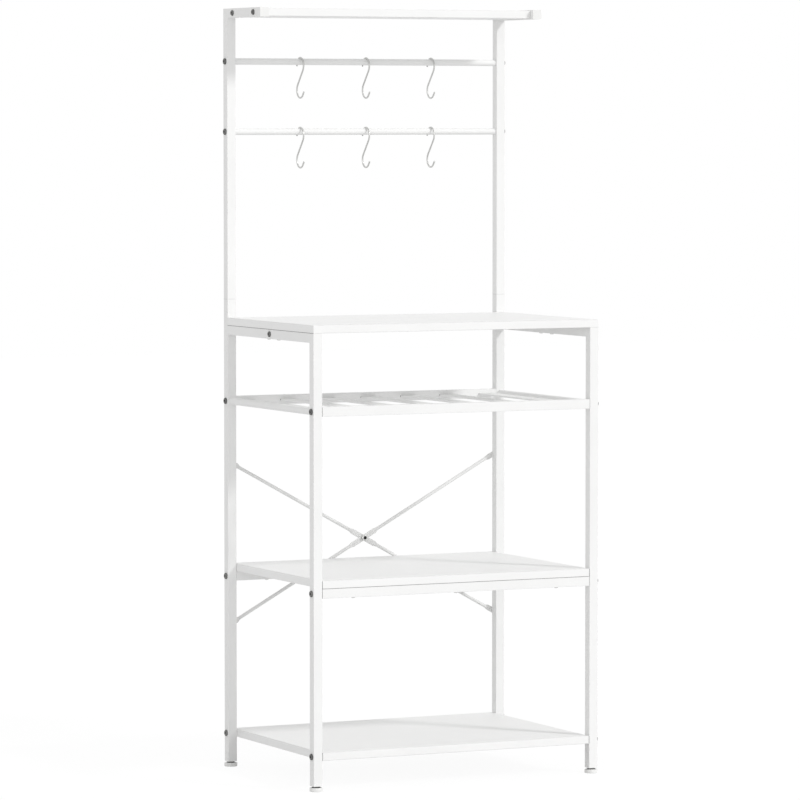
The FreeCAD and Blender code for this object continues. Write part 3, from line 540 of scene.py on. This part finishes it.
def pan_head(name, diameter, height, reach, arm_width, depth):
    """A rounded head with a cross recess, its bearing face on the origin, facing up."""
    rings = [(round_ring(diameter / 2), 0.0)]
    rings += arc_rings(diameter / 2, height, height * PAN_ROUNDING_SHARE)
    rings.append((cross_ring(reach, arm_width), height))
    rings.append((cross_ring(reach * CROSS_REACH_SHARE, arm_width * CROSS_ARM_SHARE), height - depth))
    return skin(name, rings)


end_low, end_high = low("brace_end_bolts"), high("brace_end_bolts")
SMALL_HEAD_DIAMETER = 9.5 * MM
SMALL_HEAD_HEIGHT = 2.8 * MM
SMALL_CROSS = (2.6 * MM, 1.1 * MM, 1.6 * MM)
inset = SMALL_HEAD_DIAMETER / 2
brace_ends = [Vector((x, end_high.y - SMALL_HEAD_HEIGHT, z))
              for x in (end_low.x + inset, end_high.x - inset)
              for z in (end_low.z + inset, end_high.z - inset)]
small_head = pan_head("small_head", SMALL_HEAD_DIAMETER, SMALL_HEAD_HEIGHT, *SMALL_CROSS)
end_places = [(point, BACK) for point in brace_ends]
piece = placed_heads("brace_end_bolts_detail", small_head, bolt_zinc, end_places)
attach(piece, "frame")
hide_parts("brace_end_bolts")

# %% The wood screws
SCREW_HEAD_DIAMETER = 8.0 * MM
SCREW_HEAD_HEIGHT = 2.2 * MM
SCREW_CROSS = (2.2 * MM, 0.9 * MM, 1.3 * MM)
screw_head = pan_head("screw_head", SCREW_HEAD_DIAMETER, SCREW_HEAD_HEIGHT, *SCREW_CROSS)
screw_inset = SCREW_HEAD_DIAMETER / 2

corner_low, corner_high = low("middle_board_screws"), high("middle_board_screws")
screw_xs = (corner_low.x + screw_inset, 0.0, corner_high.x - screw_inset)
screw_z = low("middle_front_rail").z
board_places = [(Vector((x, y, screw_z)), DOWN) for x in screw_xs for y in post_ys]
piece = placed_heads("middle_board_screws_detail", screw_head, bright_zinc, board_places)
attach(piece, "frame")
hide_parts("middle_board_screws")

corner_low, corner_high = low("cleat_screws"), high("cleat_screws")
cleat_z = corner_low.z + SCREW_HEAD_HEIGHT
cleat_places = [(Vector((x, y, cleat_z)), DOWN)
                for x in (corner_low.x + screw_inset, corner_high.x - screw_inset)
                for y in (corner_low.y + screw_inset, corner_high.y - screw_inset)]
piece = placed_heads("cleat_screws_detail", screw_head, bright_zinc, cleat_places)
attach(piece, "frame")
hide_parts("cleat_screws")

# %% [markdown]
# ## The cross brace
#
# Each brace bar is a thin round tube, pressed flat where a bolt goes through it: at both ends, and
# at the crossing. A row of sections along the bar makes it: each section is a slot shape, which is
# a circle where its width and its thickness are equal. A smooth step between round and flat gives
# the soft shoulders that pressing leaves.

# %% A brace bar's sections
BAR_TUBE = 6.5 * MM
BAR_WIDTH = 10.5 * MM
BAR_THICKNESS = 2.4 * MM
END_FLAT = 19.5 * MM
MIDDLE_FLAT = 26.0 * MM
TAPER = 8.0 * MM
BAR_POINTS = 32
TAPER_STEPS = 10
END_ANGLES = range(10, 90, 8)


def smooth_step(value):
    """Ease from 0 to 1, held at both ends."""
    value = min(max(value, 0.0), 1.0)
    return value * value * (3 - 2 * value)


def slot_section(wide, thick, z_squeeze, middle_y):
    """Points round a slot shape, as (y, z), its straight sides along z."""
    points = []
    for number in range(BAR_POINTS):
        angle = 2 * math.pi * (number + 0.5) / BAR_POINTS
        side = 1 if math.sin(angle) > 0 else -1
        z = side * (wide - thick) / 2 + math.sin(angle) * thick / 2
        points.append((middle_y + math.cos(angle) * thick / 2, z * z_squeeze))
    return points


def bar_stations(half):
    """Places along a bar, closer together where its shape changes."""
    changes = (half - END_FLAT, half - END_FLAT - TAPER, MIDDLE_FLAT + TAPER, MIDDLE_FLAT)
    stations = {0.0, half}
    for start, end in ((changes[1], changes[0]), (changes[3], changes[2])):
        stations.update(start + (end - start) * step / TAPER_STEPS for step in range(TAPER_STEPS + 1))
    stations.update(half + BAR_WIDTH / 2 * math.sin(math.radians(angle)) for angle in END_ANGLES)
    return sorted({-place for place in stations} | stations)


print("points round a bar:", BAR_POINTS)

# %% Make the two bars
brace_centre = Vector((0.0, 0.0, (brace_ends[0].z + brace_ends[1].z) / 2))
brace_plane = rear_face + BAR_THICKNESS / 2
BAR_CLEARANCE = 0.3 * MM
BAR_BEND = (BAR_TUBE - BAR_THICKNESS) / 2 + BAR_CLEARANCE
BAR_SHARP_ANGLE = math.radians(50)


def brace_bar(name, lean, layer):
    """A pressed bar that leans up to the right (lean 1) or left, in front (layer -1) or behind."""
    reach = brace_ends[-1] - brace_centre
    half = math.hypot(reach.x, reach.z)
    angle = math.atan2(reach.z, reach.x) * lean
    vertices = []
    for x in bar_stations(half):
        away = abs(x)
        to_end = smooth_step((away - (half - END_FLAT - TAPER)) / TAPER)
        to_middle = smooth_step((MIDDLE_FLAT + TAPER - away) / TAPER)
        flat = max(to_end, to_middle)
        wide = BAR_TUBE + (BAR_WIDTH - BAR_TUBE) * flat
        thick = BAR_TUBE + (BAR_THICKNESS - BAR_TUBE) * flat
        past_end = min(max(away - half, 0.0) / (BAR_WIDTH / 2), 1.0)
        squeeze = math.sqrt(1 - past_end * past_end)
        round_y = BAR_BEND + (layer * BAR_THICKNESS / 2) * to_middle
        middle_y = round_y * (1 - to_end)
        vertices += [(x, y, z) for y, z in slot_section(wide, thick, squeeze, middle_y)]
    mesh = ringed_mesh(name, vertices, BAR_POINTS)
    mesh.set_sharp_from_angle(angle=BAR_SHARP_ANGLE)
    turn = Matrix.Rotation(-angle, 4, "Y")
    mesh.transform(Matrix.Translation(Vector((0.0, brace_plane, brace_centre.z))) @ turn)
    piece = add_object(name, mesh, brace_coat_painted_shade)
    print("%s: %.0f mm between its end bolts" % (name, 2 * half / MM))
    return piece


for node, lean, layer in (("brace_bar_rising", 1, -1), ("brace_bar_falling", -1, 1)):
    piece = brace_bar(node + "_detail", lean, layer)
    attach(piece, "frame")
    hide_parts(node)

# %% [markdown]
# A bright socket bolt holds the bars together where they cross, with its nut behind. Its head is much higher than
# the frame bolts' and has a wide socket, which shows as a dark spot of shade. So the faces inside the socket get a
# near-black finish of their own: painted shade.

# %% The bolt at the crossing
centre_low, centre_high = low("brace_centre_bolt"), high("brace_centre_bolt")
CENTRE_DIAMETER = centre_high.x - centre_low.x
centre_face = brace_plane + BAR_BEND - BAR_THICKNESS
CENTRE_HEIGHT = 6.0 * MM
CENTRE_ROUNDING = 1.0 * MM
CENTRE_SOCKET = 5.6 * MM
CENTRE_SOCKET_DEPTH = 3.2 * MM
SOCKET_SHADE_SHARE = 0.6
SOCKET_SHADE_HEIGHT = 1.0 * MM
centre_head = socket_head("centre_head", CENTRE_DIAMETER, CENTRE_HEIGHT,
                          CENTRE_ROUNDING, CENTRE_SOCKET, CENTRE_SOCKET_DEPTH)
centre_head.materials.append(bright_zinc)
centre_head.materials.append(socket_painted_shade)
# Faces deep in the socket get the near-black finish: painted shade.
for face in centre_head.polygons:
    centre = face.center
    inside = math.hypot(centre.x, centre.y) < CENTRE_SOCKET * SOCKET_SHADE_SHARE
    face.material_index = 1 if inside and centre.z > SOCKET_SHADE_HEIGHT else 0
facing_front = Matrix.Rotation(math.radians(90), 4, "X")
centre_head.transform(Matrix.Translation(Vector((0.0, centre_face, brace_centre.z))) @ facing_front)
piece = add_object("brace_centre_bolt_detail", centre_head)
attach(piece, "frame")
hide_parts("brace_centre_bolt")
print("crossing bolt: %.1f mm wide" % (CENTRE_DIAMETER / MM))

# %% [markdown]
# ## The seams
#
# Each rear post ends just above the tabletop, and its upper post goes on from there over a sleeve.
# The two cut ends meet in a hairline seam, and the gap between them lies in shade. A thin grey band round the tube
# is painted shade for that gap: it is so thin that it only shows as the faint line of the real one.

# %% Draw the seam round each rear post
SEAM_HEIGHT = 0.3 * MM
SEAM_PROUD = 0.03 * MM
TUBE_CORNER = 0.8 * MM
CORNER_STEPS = 4


def rounded_square(side, corner):
    """Points round a square with rounded corners, counter-clockwise seen from above."""
    points = []
    for quarter in range(4):
        towards = math.pi / 4 + quarter * math.pi / 2
        centre = Vector((math.copysign(side / 2 - corner, math.cos(towards)),
                         math.copysign(side / 2 - corner, math.sin(towards)), 0.0))
        for step in range(CORNER_STEPS + 1):
            angle = quarter * math.pi / 2 + math.pi / 2 * step / CORNER_STEPS
            points.append(centre + Vector((math.cos(angle), math.sin(angle), 0.0)) * corner)
    return points


def seam_band(name, centre):
    """A closed square ring round the tube, its middle at the seam."""
    rise = Vector((0.0, 0.0, SEAM_HEIGHT / 2))
    outside = rounded_square(tube_width + 2 * SEAM_PROUD, TUBE_CORNER)
    inside = rounded_square(tube_width - 2 * SEAM_PROUD, TUBE_CORNER - SEAM_PROUD)
    rings = [[centre + point - rise for point in outside], [centre + point + rise for point in outside],
             [centre + point + rise for point in inside], [centre + point - rise for point in inside]]
    count = len(outside)
    faces = []
    for level in range(len(rings)):
        base, above = level * count, (level + 1) % len(rings) * count
        for number in range(count):
            after = (number + 1) % count
            faces.append((base + number, base + after, above + after, above + number))
    mesh = bpy.data.meshes.new(name)
    mesh.from_pydata([point for ring in rings for point in ring], [], faces)
    return mesh


for side in ("left", "right"):
    post = "rear_post_" + side
    seam = Vector((middle(post).x, middle(post).y, high(post).z))
    piece = add_object("seam_" + side, seam_band("seam_" + side, seam), seam_painted_shade)
    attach(piece, "frame")
print("seam at %.0f mm" % (seam.z / MM))

# %% [markdown]
# ## The joint lines
#
# Where a board lies on a rail, and where a rail's or a board's end meets a post, a shaded hairline shows. Rounded
# edges leave such a line on the real unit. A small dark gap shows beside each slat's end too, where its slot in
# the rail is a little wider. Here each line is a strip of painted shade, half a millimetre wide and as good as
# flush, and one mesh holds all of them.

# %% Draw the joint lines
LINE_WIDTH = 0.5 * MM
LINE_PROUD = 0.04 * MM
SLOT_GAP = 0.8 * MM


def strip(first, second):
    """The eight corners and six faces of a thin strip between two opposite corners."""
    lows = [min(a, b) for a, b in zip(first, second)]
    highs = [max(a, b) for a, b in zip(first, second)]
    corners = [(x, y, z) for x in (lows[0], highs[0])
               for y in (lows[1], highs[1])
               for z in (lows[2], highs[2])]
    return corners, [(0, 1, 3, 2), (4, 6, 7, 5), (0, 4, 5, 1), (2, 3, 7, 6), (0, 2, 6, 4), (1, 5, 7, 3)]


def line_across(face, out, xs, zs):
    """Two opposite corners of a line on a face that looks along Y: out is 1 for back, -1 for front."""
    return ((xs[0], face - out * LINE_WIDTH, zs[0]), (xs[1], face + out * LINE_PROUD, zs[1]))


def end_lines(face, out, node):
    """The lines at both ends of a rail or board, where it meets its posts."""
    zs = (low(node).z + LINE_WIDTH, high(node).z - LINE_WIDTH)
    return [line_across(face, out, (side * post_gap, side * (post_gap - LINE_WIDTH)), zs) for side in (-1, 1)]


strips = []
side_top = high("top_side_rail_left").z
for face, out in ((low("front_post_left").x, -1), (high("front_post_right").x, 1)):
    strips.append(((face - out * LINE_WIDTH, low("tabletop_board").y + LINE_WIDTH, side_top - LINE_WIDTH / 2),
                   (face + out * LINE_PROUD, high("tabletop_board").y, side_top + LINE_WIDTH / 2)))
post_gap = abs(high("front_post_left").x)
rail_faces = [(low(rail).y, -1, rail) for rail in ("middle_front_rail", "rack_front_rail")]
rail_faces += [(high(rail).y, 1, rail) for rail in ("middle_rear_rail", "rack_rear_rail")]
for face, out, rail in rail_faces:
    strips += end_lines(face, out, rail)
for face, out, rail in rail_faces:
    if rail.startswith("middle"):
        zs = (high(rail).z - LINE_WIDTH / 2, high(rail).z + LINE_WIDTH / 2)
        strips.append(line_across(face, out, (-post_gap, post_gap), zs))
for board in ("middle_board", "bottom_board"):
    strips += end_lines(low(board).y, -1, board) + end_lines(high(board).y, 1, board)
for slat in [node for node in nodes if node.startswith("rack_slat_")]:
    for face, out in ((high("rack_front_rail").y, 1), (low("rack_rear_rail").y, -1)):
        for edge, side in ((low(slat).x, -1), (high(slat).x, 1)):
            strips.append(line_across(face, out, (edge, edge + side * SLOT_GAP), (low(slat).z, high(slat).z)))
vertices, faces = [], []
for first, second in strips:
    corners, sides = strip(first, second)
    faces += [tuple(len(vertices) + corner for corner in side) for side in sides]
    vertices += corners
lines_mesh = bpy.data.meshes.new("joint_lines")
lines_mesh.from_pydata(vertices, [], faces)
piece = add_object("joint_lines", lines_mesh, joint_shade)
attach(piece, "frame")
print("joint lines:", len(strips))

# %% [markdown]
# ## The S-hooks
#
# A hook is one wire bent into two loops. Its path is two arcs and the straight between them, and a
# short straight tip at each end. The wire's section is swept along the path, and the cut ends are
# rounded over, as tumbling leaves them.

# %% The hook's path
WIRE = 3.2 * MM
LOOP_RADIUS = 15.3 * MM
HOOK_HEIGHT = 81.0 * MM
HOOK_GAP = 0.3 * MM
UPPER_TIP = 1.6 * MM
LOWER_TIP = 8.7 * MM
LOWER_OPENING = 40
BEND_STEP = 6
WIRE_POINTS = 20


def arm(angle, length):
    """A step in the hook's plane, at an angle in degrees from straight back."""
    turn = math.radians(angle)
    return Vector((0.0, math.cos(turn), math.sin(turn))) * length


def bend(centre, start, end):
    """Points round one loop, in equal turns."""
    steps = round(abs(end - start) / BEND_STEP)
    return [centre + arm(start + (end - start) * step / steps, LOOP_RADIUS) for step in range(steps + 1)]


def hook_path():
    """The wire's line from the upper tip to the lower one, about the middle of the upper loop."""
    spread = HOOK_HEIGHT - WIRE - 2 * LOOP_RADIUS
    lean = math.degrees(math.asin(2 * LOOP_RADIUS / spread))
    upper = bend(Vector((0.0, 0.0, 0.0)), 0, 180 + lean)
    lower = bend(Vector((0.0, 0.0, -spread)), lean, LOWER_OPENING - 180)
    first = upper[0] + arm(-90, UPPER_TIP)
    last = lower[-1] + arm(LOWER_OPENING + 90, LOWER_TIP)
    return [first] + upper + lower + [last]


path = hook_path()
print("hook path: %d points" % len(path))

# %% Sweep the wire
TIP_ANGLES = [math.radians(angle) for angle in (15, 35, 60)]


def swept_wire(name, path, radius):
    """Sweep a round section along a path that lies in one plane across X, with rounded ends."""
    stations = []
    ends = [(1 - math.cos(angle), math.sin(angle)) for angle in TIP_ANGLES]
    start_way = (path[1] - path[0]).normalized()
    end_way = (path[-1] - path[-2]).normalized()
    for back, share in ends:
        stations.append((path[0] + start_way * radius * back, start_way, share))
    stations.append((path[0] + start_way * radius, start_way, 1.0))
    for number in range(1, len(path) - 1):
        way = (path[number + 1] - path[number - 1]).normalized()
        stations.append((path[number], way, 1.0))
    stations.append((path[-1] - end_way * radius, end_way, 1.0))
    for back, share in reversed(ends):
        stations.append((path[-1] - end_way * radius * back, end_way, share))
    vertices = []
    across = Vector((1.0, 0.0, 0.0))
    for point, way, share in stations:
        out = way.cross(across)
        for number in range(WIRE_POINTS):
            angle = 2 * math.pi * number / WIRE_POINTS
            vertices.append(point + (across * math.cos(angle) + out * math.sin(angle)) * radius * share)
    return ringed_mesh(name, vertices, WIRE_POINTS)


print("points round the wire:", WIRE_POINTS)

# %% [markdown]
# Each hook hangs on its rail by the inside of its upper loop, and swings about the rail's axis. The
# frame's joint gives that axis.

# %% Hang the six hooks
rail_radius = (high("hanging_rail_upper").z - low("hanging_rail_upper").z) / 2
hook_drop = LOOP_RADIUS - WIRE / 2 - rail_radius - HOOK_GAP
for joint in frame["joints"]:
    if joint["type"] != "hinge":
        continue
    node = joint["child"]
    mesh = swept_wire(node + "_detail", path, WIRE / 2)
    mesh.transform(Matrix.Translation(Vector(joint["pos_m"]) - Vector((0.0, 0.0, hook_drop))))
    piece = add_object(node + "_detail", mesh, hook_nickel)
    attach(piece, node)
    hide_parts(node)
print("hooks hang %.2f mm below the rail's axis" % (hook_drop / MM))

# %% [markdown]
# ## The levelling feet
#
# A foot is a white moulded pad on a steel stem with a thread, and a dark disc lies on the pad as painted shade for
# the gap under the post. The thread is a true helix: the stem's radius rises and falls with the height and the
# angle together, so one mesh holds it all.

# %% The pad and the threaded stem
PITCH = 1.25 * MM
THREAD_DEPTH = 0.6 * MM
STEM_POINTS = 36
STEPS_PER_TURN = 8
PAD_RIM = 1.2 * MM
PAD_BASE_SHARE = 0.25
PAD_MIDDLE_RISE = 1.0 * MM
PAD_MIDDLE_FOOT = 0.2 * MM
PAD_MIDDLE_SHARES = (0.55, 0.5)


def foot_pad(name, radius, height):
    """The moulded pad: a flat underside, rounded rims, and a raised middle."""
    inner = radius - PAD_RIM
    rings = [(round_ring(radius * PAD_BASE_SHARE), 0.0), (round_ring(inner), 0.0)]
    for step in range(1, ROUNDING_STEPS):
        angle = math.pi / 2 * step / ROUNDING_STEPS
        rings.append((round_ring(inner + PAD_RIM * math.sin(angle)), PAD_RIM - PAD_RIM * math.cos(angle)))
    rings.append((round_ring(radius), PAD_RIM))
    shoulder = height - PAD_MIDDLE_RISE
    rings += arc_rings(radius, shoulder, PAD_RIM)
    rings.append((round_ring(radius * PAD_MIDDLE_SHARES[0]), shoulder + PAD_MIDDLE_FOOT))
    rings.append((round_ring(radius * PAD_MIDDLE_SHARES[1]), height))
    return skin(name, rings)


def threaded_stem(name, radius, bottom, top):
    """A stem with a helical thread from bottom to top."""
    steps = round((top - bottom) / PITCH * STEPS_PER_TURN)
    vertices = []
    for step in range(steps + 1):
        height = bottom + (top - bottom) * step / steps
        for number in range(STEM_POINTS):
            angle = 2 * math.pi * number / STEM_POINTS
            turn = (height / PITCH - number / STEM_POINTS) % 1.0
            reach = radius - THREAD_DEPTH * abs(2 * turn - 1)
            vertices.append((reach * math.cos(angle), reach * math.sin(angle), height))
    return ringed_mesh(name, vertices, STEM_POINTS)


print("thread pitch: %.2f mm" % (PITCH / MM))

# %% [markdown]
# The dark disc keeps clear of the post when the foot is screwed all the way in. The photograph shows a dark line
# there, which is shade in the gap under the post. The disc is painted shade for it, and that a real washer lies
# there is a guess.

# %% Set the four feet
PAD_HEIGHT = 8.0 * MM
STEM_RADIUS = 4.0 * MM
SHADE_DISC_RADIUS = 8.4 * MM
SHADE_DISC_RIM = 0.15 * MM
SHADE_DISC_BOTTOM = 7.25 * MM
SHADE_DISC_TOP = 8.15 * MM
shade_disc_rings = [
    (round_ring(SHADE_DISC_RADIUS - SHADE_DISC_RIM), SHADE_DISC_BOTTOM),
    (round_ring(SHADE_DISC_RADIUS), SHADE_DISC_BOTTOM + SHADE_DISC_RIM),
    (round_ring(SHADE_DISC_RADIUS), SHADE_DISC_TOP - SHADE_DISC_RIM),
    (round_ring(SHADE_DISC_RADIUS - SHADE_DISC_RIM), SHADE_DISC_TOP),
]
for end in ("front", "rear"):
    for side in ("left", "right"):
        node = "foot_%s_%s" % (end, side)
        at = Matrix.Translation(Vector((middle(node).x, middle(node).y, 0.0)))
        radius = (high(node).x - low(node).x) / 2
        pad = foot_pad(node + "_pad", radius, PAD_HEIGHT)
        pad.transform(at)
        pad_piece = add_object(node + "_pad", pad, white_plastic)
        stem = threaded_stem(node + "_stem", STEM_RADIUS, PAD_HEIGHT / 2, high(node).z)
        stem.transform(at)
        stem_piece = add_object(node + "_stem", stem, bright_zinc)
        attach(pad_piece, node)
        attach(stem_piece, node)
        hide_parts(node)
        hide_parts(node)
        # A dark disc of painted shade on the pad, for the shaded gap under the post.
        shade_disc = skin(node + "_washer", shade_disc_rings)
        shade_disc.transform(at)
        shade_disc_piece = add_object(node + "_washer", shade_disc, bolt_zinc)
        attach(shade_disc_piece, node)
        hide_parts(node)
print("pad radius: %.1f mm" % (radius / MM))

# %% [markdown]
# ## Floor and light
#
# The photograph is cut out on pure white. The floor is a wide pale plane that lights the unit from
# below as any floor does. To the camera and in reflections its white is mostly its own glow, set so
# that glow and light together just reach white. A brighter floor would bleed over thin edges and
# make the tubes look thinner than they are. The unit's shadow stays on it as a faint grey.

# %% The floor
def seen_directly(tree):
    """A mask that is 1 for camera, glossy and transmission rays."""
    light_path = tree.nodes.new("ShaderNodeLightPath")
    total = light_path.outputs["Is Camera Ray"]
    for name in ("Is Glossy Ray", "Is Transmission Ray"):
        add = tree.nodes.new("ShaderNodeMath")
        add.operation = "MAXIMUM"
        tree.links.new(total, add.inputs[0])
        tree.links.new(light_path.outputs[name], add.inputs[1])
        total = add.outputs["Value"]
    return total


FLOOR_SIZE = 30.0
FLOOR_GLOW = 0.94
FLOOR_COLOUR = (0.8, 0.8, 0.8)
FLOOR_SEEN_COLOUR = (0.07, 0.07, 0.07)
FLOOR_ROUGHNESS = 0.9
WHITE = (1.0, 1.0, 1.0, 1.0)
floor_mesh = bpy.data.meshes.new("floor")
half = FLOOR_SIZE / 2
floor_corners = [(-half, -half, 0), (half, -half, 0), (half, half, 0), (-half, half, 0)]
floor_mesh.from_pydata(floor_corners, [], [(0, 1, 2, 3)])
floor_paint = bpy.data.materials.new("pale_floor")
floor_paint.use_nodes = True
tree = floor_paint.node_tree
shader = tree.nodes["Principled BSDF"]
seen = seen_directly(tree)
tree.links.new(mix_colour(tree, seen, FLOOR_COLOUR, FLOOR_SEEN_COLOUR), shader.inputs["Base Color"])
shader.inputs["Roughness"].default_value = FLOOR_ROUGHNESS
shader.inputs["Specular IOR Level"].default_value = 0.0
shader.inputs["Emission Color"].default_value = WHITE
tree.links.new(map_range(tree, seen, 0.0, 1.0, 0.0, FLOOR_GLOW), shader.inputs["Emission Strength"])
floor = add_object("floor", floor_mesh, floor_paint)
print("floor: %.0f m wide" % FLOOR_SIZE)

# %% [markdown]
# ## The lamps
#
# Four things light the unit, with strengths that together give the photograph's greys: a soft key
# light from high on the right, which draws the shadows, a wide weak light from the front, which
# reaches under the boards, a weaker one from the left, for the left faces, and a white world.

# %% Lamps and world
KEY_DIRECTION = Vector((-0.84, 1.19, -1.0))
KEY_STRENGTH = 1.31
KEY_SOFTNESS = math.radians(8)
LEFT_DIRECTION = Vector((1.0, 0.3, -0.25))
LEFT_STRENGTH = 0.16
FRONT_DIRECTION = Vector((0.3, 1.0, 0.0))
FRONT_STRENGTH = 0.365
WIDE_SOFTNESS = math.radians(60)
WORLD_STRENGTH = 0.71


def sun(name, direction, strength, softness):
    """A distant lamp that shines along a direction."""
    data = bpy.data.lights.new(name, "SUN")
    data.energy = strength
    data.angle = softness
    lamp = bpy.data.objects.new(name, data)
    lamp.rotation_euler = direction.to_track_quat("-Z", "Y").to_euler()
    bpy.context.scene.collection.objects.link(lamp)


sun("key_light", KEY_DIRECTION, KEY_STRENGTH, KEY_SOFTNESS)
sun("wide_light_left", LEFT_DIRECTION, LEFT_STRENGTH, WIDE_SOFTNESS)
sun("wide_light_front", FRONT_DIRECTION, FRONT_STRENGTH, WIDE_SOFTNESS)

world = bpy.data.worlds.new("white_studio")
world.use_nodes = True
bpy.context.scene.world = world
tree = world.node_tree
background = tree.nodes["Background"]
background.inputs["Color"].default_value = WHITE
strength = map_range(tree, seen_directly(tree), 0.0, 1.0, WORLD_STRENGTH, 1.0)
tree.links.new(strength, background.inputs["Strength"])
bpy.context.scene.view_settings.view_transform = "Standard"
print("lamps:", len(bpy.data.lights))
